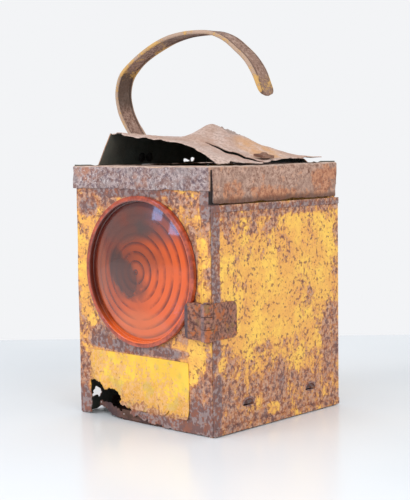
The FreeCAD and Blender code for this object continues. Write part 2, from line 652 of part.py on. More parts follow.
def make_door_panel():
    """The hinged side: a sheet with a rear lip, two outside hems and two half-moon vents."""
    sheet = doc.addObject("PartDesign::Body", "door_sheet")
    near = FRONT + " + sizes.door_front"
    lip_in = "(%s + sizes.door_gap)" % BACK
    lip_out = "(%s + sizes.gauge)" % lip_in
    lip_end = RIGHT + " - sizes.door_lip"
    pad(sheet, "door_fold", "XY_Plane", [
        (RIGHT, near), (RIGHT, lip_out), (lip_end, lip_out),
        (lip_end, lip_in), (DOOR_IN, lip_in), (DOOR_IN, near)],
        "sizes.door_top - sizes.door_low", "sizes.door_low")
    solids = [sheet]
    for name, low, high in (("top", "sizes.door_top - sizes.hem_high", "sizes.door_top"),
                            ("foot", "sizes.door_low", "sizes.door_low + sizes.hem_high")):
        solids.append(block("hem_" + name, (RIGHT + " - sizes.gauge / 2", near, low),
                            (RIGHT + " + sizes.hem_proud", lip_out, high)))
    vents = [make_vent(place) for place in ("vent_front", "vent_back")]
    solids += [hood for hood, hollow in vents]
    hollows = fused("vent_hollows", [hollow for hood, hollow in vents])
    keep(less("door_panel", fused("door_solid", solids), hollows), "door_panel")


def knuckle_heights():
    """The lower, middle and upper knuckles, each as a low and a high expression."""
    third = "((sizes.hinge_high - sizes.hinge_low - 2 * sizes.knuckle_gap) / 3)"
    step = "(%s + sizes.knuckle_gap)" % third
    return [("sizes.hinge_low + %d * %s" % (index, step),
             "sizes.hinge_low + %d * %s + %s" % (index, step, third)) for index in range(3)]


def hinge_rod(name, low, high, radius):
    """A cylinder on the hinge axis between two heights."""
    return rod(name, (HINGE_X, HINGE_Y, low), "z", "%s - (%s)" % (high, low), radius)


def rounded_leaf(name, role, outline, offset, at_far_end):
    """A hinge leaf with its two far corners rounded."""
    leaf = doc.addObject("PartDesign::Body", name)
    blank = pad(leaf, name + "_blank", role, outline, "sizes.hinge_thick", offset)

    def far_corner(edge):
        level = edge.BoundBox.ZLength < 0.01
        short = abs(edge.Length - number("sizes.hinge_thick")) < 0.01
        return level and short and at_far_end(edge.CenterOfMass)

    fillet(leaf, name + "_rounding", blank, far_corner, "sizes.leaf_round")
    return leaf


def make_hinge():
    """A butt hinge round the near corner: its front leaf stands off over the lens rim."""
    low, high = "sizes.hinge_low", "sizes.hinge_high"
    leaf_back = "(%s + sizes.hinge_thick / 2)" % HINGE_Y
    leaf_front = "(%s - sizes.hinge_thick / 2)" % HINGE_Y
    lower, middle, upper = knuckle_heights()
    reach = "(%s - sizes.knuckle - sizes.swing_gap)" % HINGE_X
    leaf_west = "(%s - sizes.front_leaf)" % RIGHT
    west = number(leaf_west)
    solids = [rounded_leaf("front_leaf_plate", "XZ_Plane",
                           rectangle(leaf_west, low, reach, high), "-(%s)" % leaf_back,
                           lambda middle: middle.x < west + 0.01)]
    for name, span in (("low", lower), ("high", upper)):
        solids.append(block("tongue_" + name, (reach, leaf_front, span[0]),
                            (HINGE_X, leaf_back, span[1])))
        solids.append(hinge_rod("knuckle_" + name, span[0], span[1], "sizes.knuckle"))
    bore = hinge_rod("hinge_fixed_bore", low + " - 1", high + " + 1", "sizes.pin_radius")
    keep(less("hinge_fixed_leaf", fused("hinge_fixed_solid", solids), bore), "hinge_fixed_leaf")

    door_out = "(%s + sizes.hinge_thick)" % RIGHT
    near, leaf_end = "(%s + sizes.swing_gap)" % FRONT, "(%s + sizes.door_leaf)" % FRONT
    far = number(leaf_end)
    solids = [rounded_leaf("door_leaf_plate", "YZ_Plane", rectangle(near, low, leaf_end, high),
                           RIGHT, lambda middle: middle.y > far - 0.01),
              block("door_tongue", (RIGHT, HINGE_Y, middle[0]), (door_out, near, middle[1])),
              hinge_rod("knuckle_mid", middle[0], middle[1], "sizes.knuckle")]
    bore = hinge_rod("hinge_door_bore", low + " - 1", high + " + 1",
                     "sizes.pin_radius + sizes.pin_fit")
    keep(less("hinge_door_leaf", fused("hinge_door_solid", solids), bore), "hinge_door_leaf")

    cap, cap_radius = "sizes.hinge_thick", "1.5 * sizes.pin_radius"
    keep(fused("hinge_pin", [
        hinge_rod("pin_stem", "%s - %s" % (low, cap), "%s + %s" % (high, cap), "sizes.pin_radius"),
        hinge_rod("pin_foot", "%s - %s" % (low, cap), low, cap_radius),
        hinge_rod("pin_head", high, "%s + %s" % (high, cap), cap_radius)]), "hinge_pin")
    packing_east = "(%s - sizes.bead_inset - sizes.bead_wide)" % RIGHT
    keep(block("hinge_packing", (packing_east + " - sizes.packing_wide", leaf_back, low),
               (packing_east, FRONT, high)), "hinge_packing")


def make_catch():
    """A turn catch on the back: upright it frees the door, level it holds the door's lip."""
    catch_out = "(%s + sizes.catch_thick)" % CATCH_IN
    height, half = "sizes.catch_height", "sizes.catch_wide / 2"
    top = "(sizes.catch_height + sizes.catch_long - %s)" % half
    bar = doc.addObject("PartDesign::Body", "catch_bar")
    pad(bar, "catch_blank", "XZ_Plane", [
        ("%s - %s" % (CATCH_X, half), height),
        (CATCH_X, "%s - %s" % (height, half), half, -1),
        ("%s + %s" % (CATCH_X, half), height, half, -1),
        ("%s + %s" % (CATCH_X, half), top),
        (CATCH_X, "%s + %s" % (top, half), half, -1),
        ("%s - %s" % (CATCH_X, half), top, half, -1)],
        "sizes.catch_thick", "-(%s)" % catch_out)
    bore = rod("catch_bore", (CATCH_X, BACK, height), "y",
               "2 * sizes.catch_stand + 2 * sizes.catch_thick",
               "sizes.catch_rivet + sizes.pin_fit")
    keep(less("turn_catch", bar, bore), "turn_catch")
    keep(fused("catch_rivet", [
        rod("catch_shank", (CATCH_X, BACK + " - sizes.gauge", height), "y",
            "sizes.gauge + sizes.catch_stand + sizes.catch_thick + 2 * sizes.catch_gap",
            "sizes.catch_rivet"),
        rod("catch_washer", (CATCH_X, BACK, height), "y", "sizes.catch_stand",
            "2 * sizes.catch_rivet"),
        rod("catch_head", (CATCH_X, catch_out + " + sizes.catch_gap", height), "y",
            "sizes.catch_thick", "1.8 * sizes.catch_rivet"),
        rod("catch_tail", (CATCH_X, BACK + " - 2.5 * sizes.gauge", height), "y",
            "1.5 * sizes.gauge", "1.6 * sizes.catch_rivet")]), "catch_rivet")


# ------------------------------------------------------------------ torn roof
ROOF_LEFT = -number(TURRET_X) + number("sizes.gauge")
ROOF_RIGHT = number(HEADER_OUT) - number("sizes.roof_inset")
ROOF_BACK = number(TURRET_Y) - number("sizes.wall_lean") + 0.1
# The torn front edge: how far its left corner is torn back and its right flap hangs forward,
# and how much of its length each takes.
CORNER_TORN, CORNER_SPAN = 7, 40
FLAP_AHEAD, FLAP_SPAN = 7, 35
# The fold runs from its peak to the right edge, steeper behind it than in front.
FOLD_PEAK = Vector(0, 10, 0)
FOLD_RUN = Vector(80, 29, 0)
FOLD_FRONT, FOLD_BACK, FOLD_START, FOLD_END_RISE = 30, 14, 20, 1.5
# The left edge sags behind the front corner over this length.
SAG_SPAN = 40
# The front edge stays high and drops late, and this far back the sheet falls more evenly.
DROP_POWER, DROP_SPAN = 2.6, 60


def smooth(share):
    """A soft step from 0 to 1."""
    share = min(max(share, 0), 1)
    return share * share * (3 - 2 * share)


def roof_front(x):
    """How far forward the torn front edge reaches at x."""
    left_corner = CORNER_TORN * (1 - smooth((x - ROOF_LEFT) / CORNER_SPAN))
    right_flap = FLAP_AHEAD * smooth((x - number(HEADER_OUT) + FLAP_SPAN) / FLAP_SPAN)
    return -number(TURRET_Y) - 1.5 * number("sizes.gauge") + left_corner - right_flap


def roof_fold(x, y):
    """Height of the fold that runs from the peak near the middle down to the right edge."""
    along = (Vector(x, y, 0) - FOLD_PEAK).dot(FOLD_RUN) / FOLD_RUN.Length ** 2
    across = Vector(-FOLD_RUN.y, FOLD_RUN.x, 0).normalize()
    aside = (Vector(x, y, 0) - FOLD_PEAK).dot(across)
    if along < 0:
        crest = number("sizes.fold_rise") * math.exp(-(along * FOLD_RUN.Length / FOLD_START) ** 2)
    else:
        crest = number("sizes.fold_rise") * (1 - along) + FOLD_END_RISE * along
    spread = FOLD_FRONT if aside < 0 else FOLD_BACK
    return crest * math.exp(-(aside / spread) ** 2)


def roof_height(x, y):
    """Top face of the torn roof sheet, which has sagged onto the right side of the cap."""
    base = number("sizes.height") + number("sizes.roof_clear")
    behind = y - number(FRONT)
    sag = number("sizes.roof_sag") * (1 - math.exp(-((behind - 14) / SAG_SPAN) ** 2))
    left = base + number("sizes.roof_rise") - sag
    right = base + number("sizes.roof_back_rise") * smooth((behind - 9) / 140)
    across = min(max((x - ROOF_LEFT) / (ROOF_RIGHT - ROOF_LEFT), 0), 1)
    even, late = smooth(across), across ** DROP_POWER
    fall = even + (late - even) * (1 - smooth((behind - 16) / DROP_SPAN))
    return left + (right - left) * fall + roof_fold(x, y)


def plate_through(rows, thickness):
    """A thin solid whose one face passes through a grid of points."""
    backs = [[point + thickness for point in row] for row in rows]

    def patch(a, b, c):
        return Part.Face(Part.makePolygon([a, b, c, a]))

    faces = []
    for upper, grid in ((True, rows), (False, backs)):
        for first, second in zip(grid, grid[1:]):
            for i in range(len(first) - 1):
                faces.append(patch(first[i], first[i + 1], second[i + 1]))
                faces.append(patch(first[i], second[i + 1], second[i]))
    rim = [rows[0], [row[-1] for row in rows], rows[-1][::-1], [row[0] for row in rows][::-1]]
    for side in rim:
        for a, b in zip(side, side[1:]):
            faces.append(patch(a, b, b + thickness))
            faces.append(patch(a, b + thickness, a + thickness))
    solid = Part.makeSolid(Part.makeShell(faces))
    if solid.Volume < 0:
        solid.reverse()
    return solid


def spaced(start, end, count):
    return [start + (end - start) * index / (count - 1) for index in range(count)]


# A rust hole in the left turret wall: along the lamp, and above the cap.
TURRET_HOLE = [(34, 1.5), (36, 4.5), (41, 3), (46, 6), (50, 4), (49, 1)]


def make_roof():
    """The crumpled sheet, and the leaning left and back walls that it rests on."""
    gauge = number("sizes.gauge")
    across = spaced(ROOF_LEFT, ROOF_RIGHT, 12)
    rows = []
    for share in spaced(0, 1, 9):
        row = []
        for x in across:
            y = roof_front(x) + (ROOF_BACK - roof_front(x)) * share
            row.append(Vector(x, y, roof_height(x, y)))
        rows.append(row)
    sheet = doc.addObject("Part::Feature", "roof_sheet")
    sheet.Shape = plate_through(rows, Vector(0, 0, -gauge))
    keep(sheet, "roof_sheet")

    lid_top, gap = number("sizes.height"), number("sizes.wall_gap")
    lean = number("sizes.wall_lean")
    foot_x = -number(TURRET_X) - number("sizes.wall_out")
    front_foot, front_top = -number(TURRET_Y) - number("sizes.wall_ahead"), roof_front(ROOF_LEFT)
    back_foot = number(TURRET_Y) + number("sizes.wall_behind")
    foot, head = [], []
    for share in spaced(0, 1, 8):
        foot_y = front_foot + (back_foot - gap - front_foot) * share
        head_y = front_top + (ROOF_BACK - front_top) * share
        foot.append(Vector(foot_x, foot_y, lid_top))
        top = roof_height(ROOF_LEFT, head_y) - gauge - gap
        head.append(Vector(foot_x + lean, head_y, top))
    wall = plate_through([foot, head], Vector(gauge, 0, 0))
    rust = [Vector(foot_x - lean, y, lid_top + z) for y, z in TURRET_HOLE]
    rust_face = Part.Face(Part.makePolygon(rust + rust[:1]))
    wall = wall.cut(rust_face.extrude(Vector(3 * lean, 0, 0)))
    left_wall = doc.addObject("Part::Feature", "roof_left_wall")
    left_wall.Shape = wall.cut(rivet_holes())
    keep(left_wall, "roof_left_wall")

    foot, head = [], []
    for x in spaced(ROOF_LEFT + 1.5 * gauge, number(TURRET_X), 10):
        foot.append(Vector(x, back_foot, lid_top))
        top = min(roof_height(x + d, ROOF_BACK) for d in (-4, 0, 4)) - gauge - gap
        head.append(Vector(x, ROOF_BACK, top))
    back_wall = doc.addObject("Part::Feature", "roof_back_wall")
    back_wall.Shape = plate_through([foot, head], Vector(0, -gauge, 0))
    keep(back_wall, "roof_back_wall")


# ------------------------------------------------------------------ strap handle
# Middle of the strap above its foot, seen from the front: across from the middle of the case,
# and above the cap, on a turret of this half width and at this rise.
STRAP_TURRET, STRAP_RISE = 60, 114
STRAP_LINE = [(-65.6, 20), (-71.5, 26.8), (-80.5, 38.5), (-86, 49), (-89, 63.5), (-85.5, 77.5),
              (-77.5, 86.5), (-64.5, 95.3), (-47, 103.6), (-28, 110), (-8, 113.4), (12, 114),
              (28, 112.4), (43, 106.6), (56, 97.6), (67, 88.5), (75.5, 77.5), (81.5, 64.5),
              (84.3, 57)]
FOOT_RISES = (2, 6, 10, 13.5)
RIVET_RISE = 6.6


def wall_slope():
    """How far the left wall leans in for each millimetre that it rises."""
    return number("sizes.wall_lean") / (number("sizes.roof_rise") - number("sizes.roof_sag"))


def wall_outward():
    """The direction straight out of the leaning left wall."""
    return Vector(-1, 0, wall_slope()).normalize()


def wall_face(rise):
    """A point of the left wall's outer face behind the strap, that far above the cap."""
    return Vector(-number(TURRET_X) - number("sizes.wall_out") + wall_slope() * rise,
                  number("sizes.strap_centre"), number("sizes.height") + rise)


def rivet_seats():
    """Where the two rivets, side by side across the strap, pass the wall's outer face."""
    aside = Vector(0, number("sizes.strap_wide") / 4, 0)
    return [wall_face(RIVET_RISE) - aside, wall_face(RIVET_RISE) + aside]


def rivet_holes():
    """Tools that cut the rivet holes through the strap's foot and the wall."""
    out = wall_outward()
    radius = number("sizes.rivet_radius") + number("sizes.rivet_fit")
    return Part.makeCompound([Part.makeCylinder(radius, 14, seat - out * 7, out)
                              for seat in rivet_seats()])


def make_handle():
    half_thick = number("sizes.strap_thick") / 2
    wide = number("sizes.strap_wide")
    start_y = number("sizes.strap_centre") - wide / 2
    widening = number(TURRET_X) - STRAP_TURRET
    lift = number("sizes.strap_rise") / STRAP_RISE
    stand = half_thick + number("sizes.strap_gap")
    feet = [wall_face(rise) + wall_outward() * stand for rise in FOOT_RISES]
    line = [Vector(foot.x, 0, foot.z) for foot in feet]
    for x, z in STRAP_LINE:
        share = min(max(x / STRAP_TURRET, -1), 1)
        line.append(Vector(x + widening * share, 0, number("sizes.height") + z * lift))
    middle = Part.BSplineCurve()
    middle.interpolate(line)
    first, last = middle.FirstParameter, middle.LastParameter
    outer, inner = [], []
    for along in spaced(first, last, 40):
        point, way = middle.value(along), middle.tangent(along)[0]
        aside = Vector(-way.z, 0, way.x).normalize() * half_thick
        outer.append(point + aside)
        inner.append(point - aside)
    edges = []
    for side in (outer, inner):
        curve = Part.BSplineCurve()
        curve.interpolate(side)
        edges.append(curve.toShape())
    edges.insert(1, Part.makeLine(outer[-1], inner[-1]))
    edges.append(Part.makeLine(inner[0], outer[0]))
    face = Part.Face(Part.Wire(Part.__sortEdges__(edges)))
    face.translate(Vector(0, start_y, 0))
    strap = face.extrude(Vector(0, wide, 0))
    tip = (outer[-1] + inner[-1]) / 2
    corners = [edge for edge in strap.Edges
               if abs(edge.Length - 2 * half_thick) < 0.01
               and (Vector(edge.CenterOfMass.x, 0, edge.CenterOfMass.z) - tip).Length < 0.1]
    strap = strap.makeFillet(number("sizes.strap_round"), corners)
    handle = doc.addObject("Part::Feature", "handle_strap")
    handle.Shape = strap.cut(rivet_holes())
    keep(handle, "handle_strap")

    out = wall_outward()
    head, radius = number("sizes.rivet_head"), number("sizes.rivet_radius")
    gauge, gap = number("sizes.gauge"), number("sizes.strap_gap")
    outer_reach = number("sizes.strap_thick") + 3 * gap
    rivets = []
    for seat in rivet_seats():
        inside = seat - out * (gauge + gap)
        outside = seat + out * outer_reach
        shank = Part.makeCylinder(radius, gauge + gap + outer_reach, inside, out)
        domes = [Part.makeCone(head, radius, radius * 0.8, outside, out),
                 Part.makeCone(head, radius, radius * 0.8, inside, -out)]
        rivets.append(shank.multiFuse(domes))
    rivet_set = doc.addObject("Part::Feature", "handle_rivets")
    rivet_set.Shape = Part.makeCompound(rivets)
    keep(rivet_set, "handle_rivets")


def make_broken_lug():
    """The stump of the strap's right end, still riveted to the fallen roof."""
    x, y = number(TURRET_X) + 9, -4
    slope = math.degrees(math.atan2(roof_height(x + 3, y) - roof_height(x - 3, y), 6))
    long, thick = number("sizes.lug_long"), number("sizes.strap_thick")
    wide = 0.7 * number("sizes.strap_wide")
    radius = number("sizes.rivet_radius")
    plate = Part.makeBox(long, wide, thick, Vector(-long / 2, -wide / 2, 0))
    plate = plate.cut(Part.makeCylinder(radius, thick))
    tilt = FreeCAD.Rotation(Vector(0, 1, 0), -slope)
    above = Vector(x, y, roof_height(x, y) + thick)
    plate.Placement = FreeCAD.Placement(above, tilt)
    roof = next(piece for piece in pieces if piece.Label == "roof_sheet")
    drop = plate.distToShape(roof.Shape)[0] - number("sizes.lug_gap")
    place = FreeCAD.Placement(above - Vector(0, 0, drop), tilt)
    lug = doc.addObject("Part::Feature", "handle_lug")
    lug.Shape = plate
    lug.Placement = place
    keep(lug, "handle_lug")
    rivet = doc.addObject("Part::Feature", "lug_rivet")
    rivet.Shape = Part.makeCylinder(radius, thick).fuse(
        Part.makeCone(number("sizes.rivet_head"), radius, radius * 0.8, Vector(0, 0, thick)))
    rivet.Placement = place
    keep(rivet, "lug_rivet")


# ------------------------------------------------------------------ build, check, write
make_front_panel()
make_back_panel()
make_left_side()
make_floor_pan()
make_lid_cap()
make_label_plate()
make_lens()
make_lens_mounting()
make_light()
make_battery()
make_switch()
make_door_panel()
make_hinge()
make_catch()
make_roof()
make_handle()
make_broken_lug()
doc.recompute()

for thing in doc.Objects:
    if "Invalid" in thing.State or "Error" in thing.State:
        raise RuntimeError("%s did not build: %s" % (thing.Name, thing.State))
for piece in pieces:
    if piece.Shape.isNull() or not piece.Shape.isValid() or piece.Shape.Volume <= 0:
        raise RuntimeError("%s has no sound solid" % piece.Label)

os.makedirs("parts", exist_ok=True)
for piece in pieces:
    piece.Shape.exportStep("parts/%s.step" % piece.Label)
print("wrote %d pieces" % len(pieces))
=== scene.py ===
"""A derelict battery road lamp: rusted yellow sheet case, amber lens, torn roof, broken strap handle.

Lengths in the outlines below are millimetres in the lamp's own frame, and MM turns them to metres.
"""
import math

import bpy
import numpy as np
from mathutils import Matrix, Vector


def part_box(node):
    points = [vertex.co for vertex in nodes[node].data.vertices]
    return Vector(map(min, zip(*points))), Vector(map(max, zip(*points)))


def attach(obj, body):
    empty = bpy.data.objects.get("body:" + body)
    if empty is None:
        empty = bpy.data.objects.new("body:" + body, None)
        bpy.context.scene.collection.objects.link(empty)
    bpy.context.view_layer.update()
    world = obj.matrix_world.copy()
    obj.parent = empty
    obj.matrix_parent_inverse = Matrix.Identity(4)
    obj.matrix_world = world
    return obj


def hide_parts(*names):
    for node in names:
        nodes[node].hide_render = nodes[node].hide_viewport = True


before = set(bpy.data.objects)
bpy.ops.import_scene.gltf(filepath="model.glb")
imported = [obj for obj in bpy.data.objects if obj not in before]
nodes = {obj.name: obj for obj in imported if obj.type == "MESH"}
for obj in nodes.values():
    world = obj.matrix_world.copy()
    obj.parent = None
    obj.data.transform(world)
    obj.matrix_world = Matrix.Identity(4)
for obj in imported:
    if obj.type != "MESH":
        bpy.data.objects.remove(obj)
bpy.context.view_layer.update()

MM = 0.001


def low(node):
    """Lowest corner of a CAD node, in millimetres."""
    return np.array(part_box(node)[0]) / MM


def high(node):
    """Highest corner of a CAD node, in millimetres."""
    return np.array(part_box(node)[1]) / MM


# ------------------------------------------------------------------ places, in millimetres
# The case's outer faces; JAMB is the front wall's fold beside the hinged side.
LEFT = low("front_panel")[0]
RIGHT = -LEFT
JAMB = high("front_panel")[0]
FRONT = high("label_plate")[1]
WALL_TOP = high("front_panel")[2]
LID_TOP = high("lid_cap")[2]
GAUGE = LID_TOP - WALL_TOP
LENS_HEIGHT = (low("lens")[2] + high("lens")[2]) / 2
RIM_RADIUS = high("lens")[0]
RIM_PROUD = 4.5
RIM_FRONT = high("lens_gasket")[1] - RIM_PROUD
LENS_BACK = high("lens")[1]


# ------------------------------------------------------------------ numbers that look random
WAVE_COUNT = 14


def waves(seed, size):
    """A smooth random field over (n, 2) or (n, 3) points, mostly -1 to 1, about size between bumps."""
    field_seed = int(np.random.default_rng(seed).integers(1 << 30))

    def field(points):
        points = np.asarray(points, float)
        total = np.zeros(len(points))
        draws = np.random.default_rng(field_seed)
        for _ in range(WAVE_COUNT):
            way = draws.normal(size=points.shape[1])
            way /= np.linalg.norm(way)
            pitch = 2 * math.pi / (size * draws.uniform(0.7, 1.7))
            total += np.sin(points @ way * pitch + draws.uniform(0, 2 * math.pi))
        return total / math.sqrt(WAVE_COUNT) * 1.1

    return field


def torn_edge(seed, size, amount):
    """A ragged offset for an edge: a coarse wobble with finer and finer teeth on it."""
    layers = [(amount / 2 ** k, waves(seed + k, size / 2.1 ** k)) for k in range(3)]

    def field(points):
        return sum(share * layer(points) for share, layer in layers)

    return field


def one_way(values, beside=0.0):
    """Points along a line, for a field that changes one way only."""
    return np.stack([values, np.zeros(len(values)) + beside], axis=1)


def smooth(share):
    """0 up to 0, 1 from 1, and an even S between."""
    share = np.clip(share, 0, 1)
    return share * share * (3 - 2 * share)


def outline_distance(points, outline):
    """Signed distance from (n, 2) points to a closed outline, positive outside it."""
    points = np.asarray(points, float)
    corners = np.asarray(outline, float)
    nearest = np.full(len(points), 1e9)
    inside = np.zeros(len(points), bool)
    for start, end in zip(corners, np.roll(corners, -1, axis=0)):
        run = end - start
        along = np.clip((points - start) @ run / (run @ run), 0, 1)
        gap = np.linalg.norm(points - start - along[:, None] * run, axis=1)
        nearest = np.minimum(nearest, gap)
        straddles = (start[1] > points[:, 1]) != (end[1] > points[:, 1])
        rise = np.where(end[1] == start[1], 1e-9, end[1] - start[1])
        crossing = start[0] + (points[:, 1] - start[1]) * run[0] / rise
        inside ^= straddles & (points[:, 0] < crossing)
    return np.where(inside, -nearest, nearest)


# ------------------------------------------------------------------ mesh helpers
def new_piece(name, points, faces, body, materials, smooth_angle=35):
    """A mesh piece from points in millimetres, riding on a body."""
    mesh = bpy.data.meshes.new(name)
    mesh.from_pydata([tuple(p) for p in np.asarray(points) * MM], [], faces)
    mesh.validate()
    for polygon in mesh.polygons:
        polygon.use_smooth = True
    mesh.set_sharp_from_angle(angle=math.radians(smooth_angle))
    for material in materials:
        mesh.materials.append(material)
    piece = bpy.data.objects.new(name, mesh)
    bpy.context.scene.collection.objects.link(piece)
    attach(piece, body)
    return piece


def thicken(piece, thick, offset=-1, inside=0, rim=0):
    """Give a sheet its thickness; the far face and the rim can take other materials."""
    shell = piece.modifiers.new("thickness", "SOLIDIFY")
    shell.thickness = thick * MM
    shell.offset = offset
    shell.use_even_offset = False
    shell.material_offset = inside
    shell.material_offset_rim = rim


def sheet(name, points, faces, finishes, thick, stands_for, smooth_angle=35):
    """A sheet of the case that grows inward, where a second finish covers it."""
    piece = new_piece(name, points, faces, "case", finishes, smooth_angle)
    thicken(piece, thick, -1, 1, 0)
    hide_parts(stands_for)


def spans(*stretches):
    """Grid lines: each stretch is (start, end, step), and shared ends appear once."""
    lines = []
    for start, end, step in stretches:
        count = max(1, round(abs(end - start) / step))
        lines.extend(np.linspace(start, end, count + 1))
    return np.unique(np.round(lines, 4))


def with_lines(us, more, apart):
    """Grid lines with more among them, leaving out each that follows another too closely."""
    us = np.union1d(us, more)
    return us[np.concatenate([[True], np.diff(us) > apart])]


def clipped_grid(us, vs, kept):
    """A grid cut along kept(points) = 0: its (n, 2) points and its faces."""
    grid = np.array([(u, v) for u in us for v in vs])
    value = kept(grid).reshape(len(us), len(vs))
    points, faces, spots = [], [], {}

    def spot(key, make):
        if key not in spots:
            spots[key] = len(points)
            points.append(make())
        return spots[key]

    for i in range(len(us) - 1):
        for j in range(len(vs) - 1):
            corners = [(i, j), (i + 1, j), (i + 1, j + 1), (i, j + 1)]
            if all(value[c] <= 0 for c in corners):
                continue
            face = []
            for here, after in zip(corners, corners[1:] + corners[:1]):
                f_here, f_after = value[here], value[after]
                if f_here > 0:
                    face.append(spot(here, lambda c=here: (us[c[0]], vs[c[1]])))
                if (f_here > 0) != (f_after > 0):
                    share = f_here / (f_here - f_after)
                    share = min(max(share, 0.02), 0.98)
                    ends = (here, after) if here < after else (after, here)

                    def cut(a=here, b=after, t=share):
                        return (us[a[0]] + (us[b[0]] - us[a[0]]) * t,
                                vs[a[1]] + (vs[b[1]] - vs[a[1]]) * t)

                    face.append(spot(ends, cut))
            if len(face) >= 3:
                faces.append(tuple(face))
    return np.array(points), faces


def turned(name, profile, body, materials, turns):
    """A closed outline turned about the lens axis from (radius, y) points, in millimetres."""
    points, faces = [], []
    count = len(profile)
    for k in range(turns):
        angle = 2 * math.pi * k / turns
        for radius, y in profile:
            points.append((radius * math.cos(angle), y, LENS_HEIGHT + radius * math.sin(angle)))
    for k in range(turns):
        after = (k + 1) % turns
        for i in range(count):
            j = (i + 1) % count
            faces.append((k * count + i, after * count + i, after * count + j, k * count + j))
    return new_piece(name, points, faces, body, materials, 30)


def folded_path(corners, radius):
    """An open outline with rounded corners: a map from length along it to points and outward
    normals (to the right of the way travelled), its whole length, and where its points lie."""
    corners = [np.array(c, float) for c in corners]
    line = [corners[0]]
    for before, corner, after in zip(corners, corners[1:], corners[2:]):
        toward, away = before - corner, after - corner
        toward /= np.linalg.norm(toward)
        away /= np.linalg.norm(away)
        for t in np.linspace(0, 1, 6):
            a, b = corner + toward * radius, corner + away * radius
            line.append((1 - t) ** 2 * a + 2 * t * (1 - t) * corner + t ** 2 * b)
    line.append(corners[-1])
    line = np.array(line)
    reach = np.concatenate([[0], np.cumsum(np.linalg.norm(np.diff(line, axis=0), axis=1))])

    def at(lengths):
        here = np.stack([np.interp(lengths, reach, line[:, k]) for k in range(2)], axis=1)
        near = np.stack([np.interp(lengths + 0.25, reach, line[:, k])
                         - np.interp(lengths - 0.25, reach, line[:, k]) for k in range(2)], axis=1)
        near /= np.maximum(np.linalg.norm(near, axis=1, keepdims=True), 1e-9)
        return here, np.stack([near[:, 1], -near[:, 0]], axis=1)

    return at, reach[-1], reach


# ------------------------------------------------------------------ materials
def tone(code):
    """A colour from its usual six-digit code, in linear light."""
    parts = [int(code[k:k + 2], 16) / 255 for k in (0, 2, 4)]
    return tuple(p / 12.92 if p <= 0.04045 else ((p + 0.055) / 1.055) ** 2.4 for p in parts) + (1,)


